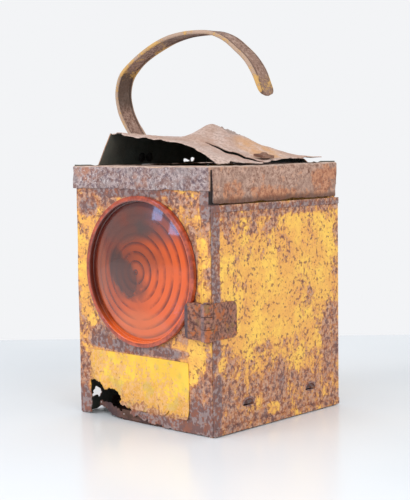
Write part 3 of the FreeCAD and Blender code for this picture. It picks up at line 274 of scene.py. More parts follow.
class Finish:
    """A material under construction: each method adds a node and gives back its output."""

    def __init__(self, name):
        self.material = bpy.data.materials.new(name)
        self.material.use_nodes = True
        self.tree = self.material.node_tree
        self.tree.nodes.clear()
        coordinates = self.tree.nodes.new("ShaderNodeTexCoord")
        self.place = coordinates.outputs["Object"]
        self.normal = coordinates.outputs["Normal"]
        split = self.tree.nodes.new("ShaderNodeSeparateXYZ")
        self.tree.links.new(self.place, split.inputs[0])
        self.x, self.y, self.z = split.outputs
        self.seed = 0

    def plug(self, value, socket):
        """Link an output, or set a number, or a colour given by its six-digit code."""
        if isinstance(value, bpy.types.NodeSocket):
            self.tree.links.new(value, socket)
        elif value is not None:
            socket.default_value = tone(value) if isinstance(value, str) else value

    def math(self, operation, a, b=None, c=None, clamp=False):
        node = self.tree.nodes.new("ShaderNodeMath")
        node.operation = operation
        node.use_clamp = clamp
        for value, socket in zip((a, b, c), node.inputs):
            self.plug(value, socket)
        return node.outputs[0]

    def add(self, *values):
        total = values[0]
        for value in values[1:]:
            total = self.math("ADD", total, value)
        return total

    def times(self, *values):
        total = values[0]
        for value in values[1:]:
            total = self.math("MULTIPLY", total, value)
        return total

    def rest(self, value):
        """What value leaves of 1."""
        return self.math("SUBTRACT", 1.0, value)

    def step(self, value, start, end):
        """0 below start, 1 above end, smooth between."""
        node = self.tree.nodes.new("ShaderNodeMapRange")
        node.interpolation_type = "SMOOTHSTEP"
        self.plug(value, node.inputs["Value"])
        self.plug(start, node.inputs["From Min"])
        self.plug(end, node.inputs["From Max"])
        return node.outputs[0]

    def within(self, value, start, end, soft):
        """1 between start and end, in millimetres, fading over soft."""
        rising = self.step(value, (start - soft) * MM, (start + soft) * MM)
        falling = self.step(value, (end - soft) * MM, (end + soft) * MM)
        return self.math("MULTIPLY", rising, self.rest(falling))

    def noise(self, size, detail=4, rough=0.6, stretch=(1, 1, 1)):
        """Fractal noise, 0 to 1 about 0.5, with its largest lumps about size millimetres."""
        self.seed += 1
        mapping = self.tree.nodes.new("ShaderNodeMapping")
        mapping.inputs["Location"].default_value = (0.37 * self.seed, 0.71 * self.seed, 0.19)
        mapping.inputs["Scale"].default_value = tuple(1 / s for s in stretch)
        self.plug(self.place, mapping.inputs["Vector"])
        node = self.tree.nodes.new("ShaderNodeTexNoise")
        self.plug(mapping.outputs[0], node.inputs["Vector"])
        node.inputs["Scale"].default_value = 1 / (size * MM)
        node.inputs["Detail"].default_value = detail
        node.inputs["Roughness"].default_value = rough
        return node.outputs["Fac"]

    def dots(self, size, radius, present):
        """Small round spots about size millimetres apart; present is the share that shows."""
        self.seed += 1
        mapping = self.tree.nodes.new("ShaderNodeMapping")
        mapping.inputs["Location"].default_value = (0.53 * self.seed, 0.11 * self.seed, 0.83)
        self.plug(self.place, mapping.inputs["Vector"])
        cells = self.tree.nodes.new("ShaderNodeTexVoronoi")
        self.plug(mapping.outputs[0], cells.inputs["Vector"])
        cells.inputs["Scale"].default_value = 1 / (size * MM)
        split = self.tree.nodes.new("ShaderNodeSeparateColor")
        self.plug(cells.outputs["Color"], split.inputs[0])
        spot = self.rest(self.step(cells.outputs["Distance"], radius * 0.6, radius))
        chosen = self.math("LESS_THAN", split.outputs[0], present)
        return self.times(spot, chosen)

    def mix(self, share, first, second):
        node = self.tree.nodes.new("ShaderNodeMix")
        node.data_type = "RGBA"
        self.plug(share, node.inputs["Factor"])
        self.plug(first, node.inputs[6])
        self.plug(second, node.inputs[7])
        return node.outputs[2]

    def lay(self, colour, mask, amount, over):
        """Another colour laid over the first where mask is 1, as strongly as amount."""
        return self.mix(self.times(mask, amount), colour, over)

    def patches(self, across, up, spots):
        """Soft oval patches, for where rust is heavier or lighter and for painted light and shade: each
        spot is (across, up, half wide, half high, amount).
        """
        total = None
        for centre_a, centre_u, half_a, half_u, amount in spots:
            a = self.math("DIVIDE", self.math("SUBTRACT", across, centre_a * MM), half_a * MM)
            u = self.math("DIVIDE", self.math("SUBTRACT", up, centre_u * MM), half_u * MM)
            square = self.add(self.times(a, a), self.times(u, u))
            share = self.rest(self.step(square, 0.25, 1.6))
            part = self.times(share, float(amount))
            total = part if total is None else self.add(total, part)
        return total

    def shader(self, colour, **sockets):
        """A surface of one colour; each socket is named with _ for its spaces."""
        node = self.tree.nodes.new("ShaderNodeBsdfPrincipled")
        self.plug(colour, node.inputs["Base Color"])
        for name, value in sockets.items():
            self.plug(value, node.inputs[name.replace("_", " ")])
        return node

    def done(self, colour, rough, height=None, lift=0.2, metal=0.0, **sockets):
        """The finished material: height is a bump of lift millimetres."""
        shader = self.shader(colour, Roughness=rough, Metallic=metal, **sockets)
        output = self.tree.nodes.new("ShaderNodeOutputMaterial")
        if height is not None:
            bump = self.tree.nodes.new("ShaderNodeBump")
            bump.inputs["Distance"].default_value = lift * MM
            bump.inputs["Strength"].default_value = 1.0
            self.plug(height, bump.inputs["Height"])
            self.plug(bump.outputs[0], shader.inputs["Normal"])
        self.tree.links.new(shader.outputs[0], output.inputs["Surface"])
        return self.material


# The paint's colours, and those of what shows through it.
PAINT = "f3c252"
PAINT_WARM = "e8a950"
STAIN = "d28c54"
RUST = "86492f"
PLUM = "684540"
STEEL = "8f8080"
PINK = "c49c86"


def painted(name, spots, across="x", extra=None, wear=0.0, speckle=0.0, painted_shade=None):
    """Yellow paint that rust has come through: clean paint, stain, tan rust, then plum and grey; an
    optional mask paints near-black shade over it.
    """
    f = Finish(name)
    fine = f.noise(3.0, 7, 0.7)
    medium = f.noise(10, 5, 0.62, (1, 1, 1.5))
    broad = f.noise(34, 3, 0.55)
    spread = f.add(f.times(medium, 0.45), f.times(broad, 0.35), float(wear))
    spread = f.add(spread, f.patches(f.x if across == "x" else f.y, f.z, spots))
    if extra:
        spread = f.add(spread, extra(f))
    field = f.add(f.times(fine, 0.40), spread)
    base = f.mix(f.step(f.noise(22, 3, 0.5), 0.36, 0.64), PAINT, PAINT_WARM)
    base = f.lay(base, f.step(f.noise(5, 4, 0.6), 0.45, 0.65), 0.45, "d99c4e")
    stain = f.step(field, 0.575, 0.66)
    bare = f.step(field, 0.635, 0.685)
    plum = f.step(field, 0.70, 0.78)
    grey = f.step(f.add(field, f.times(f.noise(6, 4, 0.65), 0.25)), 0.90, 0.98)
    colour = f.lay(base, stain, 0.85, STAIN)
    tan = f.mix(f.step(f.noise(4.5, 4, 0.7), 0.38, 0.60), "ab6c4a", PINK)
    colour = f.lay(colour, bare, 0.88, tan)
    dark = f.mix(f.step(f.noise(2.2, 4, 0.7), 0.42, 0.58), PLUM, "a58273")
    colour = f.lay(colour, plum, 0.88, dark)
    colour = f.lay(colour, grey, 0.8, STEEL)
    grain = f.noise(3.6, 3, 0.55, (1, 1, 1.1))
    specks = f.step(f.add(f.times(grain, 0.80), f.times(spread, 0.28), float(speckle)), 0.56, 0.62)
    freckles = f.step(f.noise(2.1, 3, 0.6), 0.57, 0.66)
    colour = f.lay(colour, specks, 0.78, f.mix(f.step(medium, 0.42, 0.55), RUST, PLUM))
    colour = f.lay(colour, freckles, 0.5, "a85f38")
    if painted_shade:
        # Painted shade: near-black where the given mask is 1.
        colour = f.mix(painted_shade(f), colour, "171210")
    rough = f.math("MULTIPLY_ADD", bare, 0.36, 0.42)
    height = f.add(f.times(bare, 0.5), f.times(fine, 0.7), f.times(specks, 0.35), f.times(medium, 0.5))
    return f.done(colour, rough, height, 0.4)


def rusted(name, tones, size=4.0, flecks=0.25, rough=0.82, lift=0.5):
    """Bare rusted sheet in four tones, from darkest to lightest, with pale flecks."""
    f = Finish(name)
    fine = f.noise(size * 0.6, 7, 0.7)
    medium = f.noise(size * 2.6, 5, 0.62)
    broad = f.noise(size * 9, 3, 0.5)
    blend = f.add(f.times(fine, 0.45), f.times(medium, 0.35), f.times(broad, 0.20))
    colour = f.mix(f.step(blend, 0.36, 0.46), tones[0], tones[1])
    colour = f.mix(f.step(f.add(f.times(broad, 0.6), f.times(medium, 0.4)), 0.46, 0.60),
                   colour, tones[2])
    colour = f.lay(colour, f.step(fine, 0.55, 0.70), 0.7, tones[3])
    bright = f.times(f.dots(size * 0.8, 0.3, flecks), f.step(medium, 0.45, 0.6))
    colour = f.lay(colour, bright, 0.7, "d9cdc8")
    return f.done(colour, rough, f.add(fine, f.times(medium, 0.8)), lift)


# Spots on the front wall: across, up, half wide, half high, and how much more rust.
FRONT_SPOTS = [
    (-66, 186, 13, 10, 0.20), (-48, 190, 9, 7, 0.05), (-15, 198, 50, 4.5, 0.26),
    (30, 194, 26, 6, 0.12), (64, 197, 5, 4, -0.08), (74, 190, 6, 14, 0.24),
    (54, 178, 8, 12, 0.01), (59, 140, 6, 30, 0.15), (-73, 140, 7, 45, -0.06), (-74, 95, 8, 26, 0.0),
    (-75, 38, 9, 20, 0.13), (-74, 10, 12, 14, 0.20), (-50, 72, 18, 10, 0.10),
    (-6, 65, 62, 5, 0.22), (48, 84, 9, 9, 0.0), (60, 60, 5, 20, -0.10),
    (62, 34, 7, 12, 0.12), (62, 12, 24, 15, 0.22), (0, 5, 90, 6, 0.24), (75, 150, 4, 34, 0.03),
    (75, 40, 4, 40, 0.10),
]
# Spots on the hinged side: along, up, half long, half high.
DOOR_SPOTS = [
    (0, 4, 110, 10, 0.09), (0, 24, 110, 18, 0.07), (-40, 42, 60, 16, 0.04), (40, 58, 40, 18, 0.025),
    (74, 66, 14, 30, 0.10), (-62, 40, 18, 36, 0.04), (24, 164, 11, 10, -0.16), (0, 182, 110, 5, 0.10),
    (-40, 172, 40, 10, 0.05), (64, 132, 18, 40, -0.06), (-10, 116, 50, 26, -0.05),
    (-5, 84, 50, 14, -0.07), (-8, 13, 9, 6, -0.16), (81, 96, 4, 90, 0.05),
    (-40.5, 23.5, 7, 4, 0.3), (43.5, 23.5, 7, 4, 0.3),
]


def hem_and_strip(f):
    """The worn top hem and the bare strip along the hinged side's near edge."""
    hem = f.within(f.z, 182.8, 190, 0.6)
    wobble = f.times(f.math("SUBTRACT", f.noise(9, 3, 0.6), 0.5), 4 * MM)
    strip = f.within(f.add(f.y, wobble), -90, -74.5, 1.2)
    gaps = f.step(f.noise(26, 3, 0.5, (1, 1, 2.0)), 0.36, 0.46)
    return f.add(f.times(hem, 0.13), f.times(strip, gaps, 0.26))


def corner_shade(f):
    """Painted shade: near-black on the folded corner where the cap's slit shows it, standing in for the
    deep shadow behind the slit.
    """
    high_up = f.step(f.z, 188 * MM, 190 * MM)
    return f.times(high_up, f.step(f.x, 77.2 * MM, 77.8 * MM), 0.95)


case_front = painted("case_front_paint", FRONT_SPOTS, wear=0.035, painted_shade=corner_shade)
case_door = painted("case_door_paint", DOOR_SPOTS, "y", hem_and_strip, 0.0, 0.012)
case_side = painted("case_side_paint", [(0, 8, 110, 14, 0.2), (-60, 20, 40, 40, 0.14),
                                        (20, 190, 60, 16, 0.14), (40, 60, 40, 30, 0.06)], "y")
case_back = painted("case_back_paint", [(0, 8, 110, 14, 0.2), (50, 150, 40, 30, 0.1),
                                        (-40, 195, 60, 12, 0.16)])
inside_dark = rusted("inside_soot", ["3c413c", "4a4e48", "55534b", "5f574d"],
                     6, 0.0, 0.9, 0.4)


def label_paint():
    """The label's clean yellow, stained toward its lower left and corroded at its foot."""
    f = Finish("label_yellow")
    fine = f.noise(2.6, 6, 0.66)
    medium = f.noise(7, 5, 0.62, (1, 1, 1.7))
    broad = f.noise(24, 3, 0.5)
    lean = f.math("MULTIPLY_ADD", f.x, -1.1, f.times(f.z, -4.2))
    field = f.add(f.times(fine, 0.40), f.times(medium, 0.40), f.times(broad, 0.2), lean)
    foot = f.rest(f.step(f.z, 10 * MM, 19 * MM))
    edge = f.rest(f.step(f.math("ADD", f.x, 65 * MM), 0.0, 7 * MM))
    field = f.add(field, f.times(foot, 0.14), f.times(edge, 0.07))
    stain = f.step(field, 0.27, 0.37)
    rust = f.step(field, 0.455, 0.52)
    colour = f.mix(f.step(broad, 0.4, 0.6), "f2c443", "e9b93c")
    orange = f.mix(f.step(fine, 0.42, 0.6), "cf8c3c", "dba47c")
    colour = f.lay(colour, stain, 0.72, orange)
    colour = f.lay(colour, rust, 0.75, f.mix(f.step(fine, 0.42, 0.58), PINK, RUST))
    specks = f.times(f.step(f.noise(2.6, 2, 0.5), 0.62, 0.70), f.step(field, 0.24, 0.36))
    colour = f.lay(colour, specks, 0.6, "a2663c")
    green = f.times(f.step(f.noise(12, 3, 0.5), 0.52, 0.66), 0.35)
    colour = f.mix(green, colour, "b9ae4a")
    height = f.add(f.times(rust, 0.6), f.times(fine, 0.5), f.times(medium, 0.5))
    return f.done(colour, f.math("MULTIPLY_ADD", rust, 0.3, 0.40), height, 0.3)


def lid_rust():
    """Bare rusted cap: grey and plum on its front, tan and orange on its right side."""
    f = Finish("lid_rust")
    fine = f.noise(3.2, 6, 0.75)
    medium = f.noise(8, 5, 0.66)
    broad = f.noise(22, 3, 0.5)
    grey = f.mix(f.step(fine, 0.40, 0.58), "665156", "ad9a97")
    grey = f.lay(grey, f.step(medium, 0.46, 0.60), 0.6, "7a5448")
    grey = f.lay(grey, f.step(broad, 0.52, 0.62), 0.45, "8e8280")
    warmth = f.patches(f.x, f.z, [(-66, 214, 16, 8, 0.9), (0, 208, 14, 6, 0.5)])
    grey = f.mix(f.math("MULTIPLY", f.times(warmth, f.step(medium, 0.4, 0.6)), 0.6, clamp=True),
                 grey, "bd7d5c")
    grey = f.lay(grey, f.step(f.noise(1.7, 5, 0.75), 0.57, 0.66), 0.75, "e2dad8")
    tan = f.mix(f.step(fine, 0.38, 0.6), "84604f", "bf9c8a")
    tan = f.lay(tan, f.step(broad, 0.45, 0.6), 0.45, "98796a")
    orange = f.patches(f.y, f.z, [(-56, 199, 14, 9, 0.15), (-10, 197, 34, 6, 0.09),
                                  (66, 206, 20, 12, 0.13), (20, 194, 44, 5, 0.11)])
    warm = f.step(f.add(f.times(medium, 0.6), f.times(fine, 0.4), orange), 0.53, 0.65)
    tan = f.lay(tan, warm, 0.75, f.mix(f.step(fine, 0.42, 0.58), "9c5a3a", "bf8058"))
    hem = f.rest(f.step(f.add(f.z, f.times(medium, 4 * MM)), 193.5 * MM, 198 * MM))
    tan = f.lay(tan, hem, 0.75, "5c3a2c")
    tan = f.lay(tan, f.step(f.noise(5, 4, 0.6), 0.58, 0.66), 0.6, "6a4232")
    side = f.tree.nodes.new("ShaderNodeSeparateXYZ")
    f.plug(f.normal, side.inputs[0])
    facing = f.step(f.add(side.outputs[0], f.times(f.math("SUBTRACT", medium, 0.5), 0.3)), 0.35, 0.6)
    colour = f.mix(facing, grey, tan)
    up = f.step(side.outputs[2], 0.25, 0.7)
    colour = f.lay(colour, up, 0.85, f.mix(f.step(medium, 0.4, 0.6), "b0907f", "cdb4a4"))
    return f.done(colour, 0.78, f.add(fine, f.times(medium, 1.2)), 0.5)


def roof_rust():
    """Pinkish grey sheet with darker pits, orange along the right of the fold."""
    f = Finish("roof_rust")
    fine = f.noise(2.4, 7, 0.7)
    medium = f.noise(12, 5, 0.6, (2.0, 1, 1))
    broad = f.noise(34, 3, 0.5)
    colour = f.mix(f.step(fine, 0.36, 0.58), "a58b80", "cdb4a8")
    colour = f.lay(colour, f.step(medium, 0.48, 0.62), 0.65, "bb998a")
    colour = f.lay(colour, f.step(broad, 0.50, 0.62), 0.45, "a8826b")
    orange = f.patches(f.x, f.y, [(52, 12, 26, 14, 1.0), (64, -4, 9, 8, 0.6)])
    colour = f.mix(f.math("MULTIPLY", f.times(orange, f.step(medium, 0.3, 0.55)), 0.75, clamp=True),
                   colour, "c9945f")
    colour = f.lay(colour, f.dots(7, 0.17, 0.5), 0.6, "6b3c2c")
    return f.done(colour, 0.72, f.add(fine, f.times(medium, 1.0)), 0.45)


def strap_finish():
    """Brown rusted strap with a pale worn rim and yellow paint left on it and at its free end."""
    f = Finish("strap_rust")
    fine = f.noise(2.2, 7, 0.7)
    medium = f.noise(8, 5, 0.62)
    broad = f.noise(30, 3, 0.5)
    colour = f.mix(f.step(fine, 0.38, 0.60), "6b4a3a", "a08070")
    colour = f.lay(colour, f.step(broad, 0.46, 0.60), 0.6, "8a6a5a")
    colour = f.lay(colour, f.step(medium, 0.54, 0.64), 0.6, "b09586")
    shade = f.patches(f.x, f.z, [(-87, 290, 12, 20, 0.9), (-30, 332, 40, 6, 0.5)])
    colour = f.mix(f.math("MULTIPLY", shade, 0.85, clamp=True), colour, "463528")
    away = f.math("ABSOLUTE", f.math("ADD", f.y, 16 * MM))
    rim = f.step(away, 7.6 * MM, 8.6 * MM)
    groove = f.times(f.within(away, 6.4, 7.6, 0.4), 0.6)
    colour = f.mix(groove, colour, "3c2a22")
    colour = f.lay(colour, rim, 0.75, "b99c86")
    remnants = f.patches(f.x, f.z, [(-76, 308, 18, 16, 0.10), (-44, 324, 24, 8, 0.09),
                                    (83, 284, 8, 13, 0.13), (58, 315, 16, 10, 0.04)])
    clinging = f.add(f.times(medium, 0.5), f.times(fine, 0.35), remnants, f.times(rim, 0.09))
    yellow = f.step(clinging, 0.53, 0.62)
    colour = f.lay(colour, yellow, 0.8, "c99a4c")
    return f.done(colour, 0.62, f.add(fine, f.times(yellow, 0.5)), 0.35)


def hinge_finish():
    """Olive, orange and dark red rust, with a dark plum band over the left part of the front leaf."""
    f = Finish("hinge_rust")
    fine = f.noise(2.6, 6, 0.7)
    medium = f.noise(7, 4, 0.6)
    colour = f.mix(f.step(fine, 0.38, 0.6), "54302a", "9c6c58")
    colour = f.lay(colour, f.step(medium, 0.52, 0.60), 0.8, "b0602f")
    colour = f.lay(colour, f.step(f.noise(6, 3, 0.6), 0.58, 0.66), 0.6, "86663a")
    edge = f.rest(f.step(f.add(f.x, f.times(medium, 2 * MM)), 58.5 * MM, 60.5 * MM))
    colour = f.lay(colour, edge, 0.85, "4a4048")
    wrap = f.within(f.x, 73.5, 80.6, 0.7)
    colour = f.lay(colour, wrap, 0.6, f.mix(f.step(medium, 0.42, 0.6), "6a5a60", "9d7f7c"))
    return f.done(colour, 0.7, f.add(fine, f.times(medium, 0.8)), 0.5)


def rivet_finish():
    """Rusted rivets, black on the heads inside the turret."""
    f = Finish("rivet_rust")
    fine = f.noise(1.8, 6, 0.7)
    colour = f.mix(f.step(fine, 0.38, 0.6), "4a3530", "94766a")
    inner = f.times(f.within(f.x, -64.6, -50, 0.5), f.step(f.z, 215 * MM, 217 * MM))
    colour = f.lay(colour, inner, 0.97, "141412")
    return f.done(colour, 0.8, fine, 0.5)


# ------------------------------------------------------------------ torn case sheets
# The rust hole of the front wall and label, as x, z.
RUST_HOLE = [(-66, -4), (-66, 32), (-61, 31), (-55, 31), (-50, 28), (-50, 25), (-47, 24),
             (-41, 27), (-37, 24), (-32, 25), (-28, 21), (-30, 16), (-27, 13), (-20, 12.5),
             (-15, 8), (-10, 5.5), (-2, 4.2), (9, 3.2), (20, 2.2), (30, -4)]
SIDE_HOLE = [(-72, 14), (-67, 21), (-62, 20), (-60, 14), (-63, 11), (-69, 12)]

hole_teeth = torn_edge(11, 7, 1.1)
dents = waves(5, 60)


def front_hole(x, z):
    """Positive where the front wall is still there, in millimetres from the ragged edge."""
    spot = np.stack([x, z], axis=1)
    calm = smooth((x + 65.5) / 6)
    return outline_distance(spot, RUST_HOLE) + hole_teeth(spot) * (0.25 + 0.75 * calm)


def front_swell(x, z):
    """How far the front wall's face stands proud of flat, with its edges curled at the hole."""
    spot = np.stack([x, z], axis=1)
    away = np.abs(outline_distance(spot, RUST_HOLE))
    ring = np.hypot(x, z - LENS_HEIGHT)
    calm = smooth((ring - RIM_RADIUS - 2) / 12)
    curl = 1.3 * np.exp(-away / 5) * waves(21, 15)(spot)
    return calm * 0.22 * dents(spot) + np.clip(curl, -0.9, 0.7)


def build_front():
    """The front wall with its folded edges, lens opening, rust hole and upright bead."""
    left_fold, right_fold, bend, bend_saves = 12, 11, 2, 0.9
    bead_x, bead_half = RIGHT - 10, 0.95
    at, long, reach = folded_path([(LEFT, FRONT + left_fold), (LEFT, FRONT), (JAMB, FRONT),
                                   (JAMB, FRONT + right_fold)], bend)
    bead_at = np.interp(bead_x, [LEFT, JAMB], [left_fold - bend_saves, long - right_fold + bend_saves])
    bead_lines = bead_at + np.linspace(-2, 2, 11)
    us = with_lines(spans((0, long, 1.3)), np.append(np.round(reach[1:-1], 4), bead_lines), 0.02)
    vs = spans((0, 60, 1.0), (60, WALL_TOP, 1.5))
    ring_lap = 5.7
    aperture = high("lens_retaining_ring")[0] - ring_lap
    foot_teeth = torn_edge(31, 9, 0.5)

    def kept(grid):
        place, _ = at(grid[:, 0])
        x, y, z = place[:, 0], place[:, 1], grid[:, 1]
        on_face = y < FRONT + 1.5
        lens = np.where(on_face, np.hypot(x, z - LENS_HEIGHT) - aperture, 99)
        hole = np.where(on_face | (x > 0), front_hole(x, z), 99)
        foot = z - 0.35 - np.abs(foot_teeth(np.stack([x + y, z], axis=1)))
        foot = np.where(x < JAMB - 4, foot, 1.0)
        return np.minimum(np.minimum(lens, hole), foot)

    flat, faces = clipped_grid(us, vs, kept)
    place, normal = at(flat[:, 0])
    x, z = place[:, 0], flat[:, 1]
    swell = front_swell(x, z)
    ends = smooth((z - 2) / 3) * smooth((189 - z) / 3)
    bead = np.exp(-((x - bead_x) / bead_half) ** 2) * ends
    on_face = place[:, 1] < FRONT + 0.5
    proud = np.where(on_face, np.clip(swell, -1, 0.5) + 0.9 * bead, 0)
    points = np.stack([place[:, 0] + normal[:, 0] * proud, place[:, 1] + normal[:, 1] * proud, z],
                      axis=1)
    sheet("front_wall", points, faces, [case_front, inside_dark], GAUGE, "front_panel")


def build_label():
    """The label plate, bent up at its lower right corner and torn beside it."""
    west, east = low("label_plate")[0], high("label_plate")[0]
    foot, head = low("label_plate")[2], high("label_plate")[2]
    teeth = torn_edge(47, 6, 0.5)
    tear = [(20, 8), (26.5, 12.2), (29, 14), (31.8, 17.5), (31.4, 13), (29.5, 11.5), (28, 8)]

    def kept(grid):
        x, z = grid[:, 0], grid[:, 1]
        inset = np.minimum(np.minimum(x - west, east - x), head - z)
        torn_foot = z - foot - np.abs(teeth(grid)) * smooth((x + 40) / 30)
        corner = 3.2 - np.maximum(0, np.hypot(np.maximum(x - east + 3.2, 0),
                                              np.maximum(foot + 3.2 - z, 0)))
        edge = np.minimum(np.minimum(inset, torn_foot), corner)
        edge = np.minimum(edge, outline_distance(grid, tear))
        return np.minimum(edge, front_hole(x, z) - 0.15)

    us, vs = spans((west - 1, east + 1, 0.9)), spans((foot - 1, head + 1, 0.9))
    flat, faces = clipped_grid(us, vs, kept)
    x, z = flat[:, 0], flat[:, 1]
    lifted = 1.7 * smooth(1 - np.hypot(x - east, z - foot) / 11)
    buckle = 0.25 * waves(53, 26)(flat) * smooth((head - z) / 12) + 0.3
    near_tear = np.exp(-np.abs(outline_distance(flat, tear)) / 3) * 0.6
    proud = np.clip(front_swell(x, z), -1, 0.5) + np.maximum(buckle, 0.1) + lifted + near_tear
    points = np.stack([x, FRONT - 0.35 - proud, z], axis=1)
    sheet("label_face", points, faces, [label_paint(), inside_dark], 0.5, "label_plate")


def build_left_side():
    """The left wall, with the rust hole that the front's hole shows."""
    side = low("left_side_panel")[0]
    teeth = torn_edge(61, 5, 0.9)

    def kept(grid):
        y, z = grid[:, 0], grid[:, 1]
        near_floor = z - np.maximum(0, 2.2 * smooth(1 - np.abs(y + 60) / 7))
        return np.minimum(outline_distance(grid, SIDE_HOLE) + teeth(grid), near_floor - 0.3)

    us, vs = spans((-82.9, 82.9, 1.5)), spans((0, 34, 1.0), (34, WALL_TOP, 1.8))
    flat, faces = clipped_grid(us, vs, kept)
    proud = 0.35 * waves(67, 70)(flat) - 0.3
    proud *= smooth((83 - np.abs(flat[:, 0])) / 8)
    points = np.stack([side + np.maximum(-proud, 0), flat[:, 0], flat[:, 1]], axis=1)
    faces = [face[::-1] for face in faces]
    sheet("left_wall", points, faces, [case_side, inside_dark], GAUGE, "left_side_panel")


# ------------------------------------------------------------------ cap
# Half the raised roof's width and depth, where it stands in the cap's mouth.
TURRET_X, TURRET_Y = 60, 66.5


def build_lid():
    """The cap: skirts all round with a slit at the front right corner, and a shoulder."""
    lo, hi = low("lid_cap"), high("lid_cap")
    drop, shoulder, bend, corner_bend, slit = 20, 18.5, 1.8, 1.6, 4.6
    corner = np.array([hi[0], lo[1]])
    start = corner + (0, slit)
    at, long, reach = folded_path([start, (hi[0], hi[1]), (lo[0], hi[1]), (lo[0], lo[1]), corner,
                                   start], corner_bend)
    us = with_lines(spans((0, long, 1.7)), np.round(reach[1:-1], 4), 0.05)
    # v runs up the skirt to 0 at the bend, round the bend, then across the shoulder to the mouth.
    arc = bend * math.pi / 2
    vs = spans((lo[2] - hi[2] + bend, 0, 1.3), (0, arc, 0.55), (arc, arc + shoulder, 2.2))
    teeth, sway = torn_edge(71, 8, 0.3), waves(73, 45)

    def kept(grid):
        place, _ = at(grid[:, 0])
        u, v = grid[:, 0], grid[:, 1]
        z = hi[2] - bend + np.minimum(v, 0)
        right_side = u < hi[1] - lo[1] - slit - 2
        bottom = np.where(right_side, lo[2] + 0.3, hi[2] - drop)
        wobble = teeth(np.stack([u, v], axis=1)) + 0.5 * sway(one_way(u))
        edge = z - bottom - np.maximum(wobble + 0.4, 0.05)
        depth = hi[2] - 2.0 - z
        wedge = 2.4 + 1.6 * smooth(depth / 26)
        from_corner = place[:, 1] - lo[1]
        on_right = place[:, 0] > hi[0] - 0.05
        gap = np.where(on_right & (v < -0.2) & (from_corner < 12),
                       np.abs(from_corner - slit * 0.55) - wedge * 0.5, 9)
        return np.minimum(edge, gap)

    flat, faces = clipped_grid(us, vs, kept)
    place, normal = at(flat[:, 0])
    v = flat[:, 1]
    turn = np.clip(v, 0, arc) / bend
    inward = bend * (1 - np.cos(turn))
    z = hi[2] - bend + np.minimum(v, 0) + bend * np.sin(turn)
    rim = place - normal * inward[:, None]
    mouth = np.stack([np.clip(place[:, 0], -TURRET_X, TURRET_X),
                      np.clip(place[:, 1], -TURRET_Y, TURRET_Y)], axis=1)
    share = np.clip((v - arc) / shoulder, 0, 1)[:, None]
    rim = rim * (1 - share) + mouth * share
    spot = np.column_stack([rim, z])
    dent = 0.45 * waves(79, 32)(spot) + 0.25 * waves(83, 11)(spot)
    dent = np.clip(dent, -0.8, 0.25) * smooth((v + 30) / 8)
    skirt = (v <= arc)[:, None]
    rim = np.where(skirt, rim + normal * dent[:, None] * 0.7, rim)
    z = z + np.where(v > 0, np.clip(dent, -0.8, 0.15) * 0.8, 0)
    flare = 1.6 * smooth((-73 - rim[:, 0]) / 8) + 0.5 * smooth((-4 - v) / 14)
    rim[:, 0] -= np.where(rim[:, 0] < 0, flare, 0)
    points = np.column_stack([rim, z])
    piece = new_piece("cap", points, faces, "case", [lid_rust(), inside_dark], 50)
    weld = piece.modifiers.new("seam", "WELD")
    weld.merge_threshold = 0.05 * MM
    thicken(piece, GAUGE, -1, 1, 0)
    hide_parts("lid_cap")


# ------------------------------------------------------------------ torn roof
ROOF_LEFT, ROOF_RIGHT = low("roof_sheet")[0], high("roof_sheet")[0]
ROOF_BACK = high("roof_sheet")[1]
# The sheet rises most at its left edge, sags there toward the back, and folds up along a ridge.
ROOF_RISE, ROOF_SAG, BACK_RISE, FOLD_RISE = 27.3, 3.6, 2.2, 18.5
FOLD_PEAK, FOLD_RUN = np.array([0.0, 10.0]), np.array([80.0, 29.0])
# The left wall under the sheet leans in by WALL_LEAN from its foot to its top.
WALL_FOOT, WALL_LEAN, WALL_RISE = -TURRET_X - 3, 3.6, ROOF_RISE - ROOF_SAG


def roof_front(x):
    """How far forward the sheet reaches."""
    return (-TURRET_Y - 1.5 + 7 * (1 - smooth((x - ROOF_LEFT) / 40))
            - 7 * smooth((x - RIGHT + 35.6) / 35))


def roof_fold(x, y):
    """The ridge's height, the share along its run and the distance to its side."""
    run = np.linalg.norm(FOLD_RUN)
    away = np.stack([x, y], axis=1) - FOLD_PEAK
    along = away @ FOLD_RUN / run ** 2
    aside = (away[:, 1] * FOLD_RUN[0] - away[:, 0] * FOLD_RUN[1]) / run
    crest = np.where(along < 0, FOLD_RISE * np.exp(-(along * run / 20) ** 2),
                     FOLD_RISE * (1 - along) + 1.5 * along)
    return crest * np.exp(-(aside / np.where(aside < 0, 30, 14)) ** 2), along, aside


def roof_height(x, y):
    """The sheet's height before it is dented."""
    base = LID_TOP + 1.2
    left = base + ROOF_RISE - ROOF_SAG * (1 - np.exp(-((y + 70) / 40) ** 2))
    right = base + BACK_RISE * smooth((y + 75) / 140)
    across = np.clip((x - ROOF_LEFT) / (ROOF_RIGHT - ROOF_LEFT), 0, 1)
    fall = smooth(across)
    fall = fall + (across ** 2.6 - fall) * (1 - smooth((y + 68) / 60))
    return left + (right - left) * fall + roof_fold(x, y)[0]


# The overlapping crease in front of the fold, as x, y from its upper to its lower end.
CREASE = np.array([(14, -19), (28, -15), (44, -13), (60, -13), (80, -14)], float)


def crease_side(x, y):
    """Distance behind the crease (negative in front of it), and the share along it."""
    along = np.clip((x - CREASE[0, 0]) / (CREASE[-1, 0] - CREASE[0, 0]), -0.4, 1.4)
    line = np.interp(x, CREASE[:, 0], CREASE[:, 1])
    return y - line, along


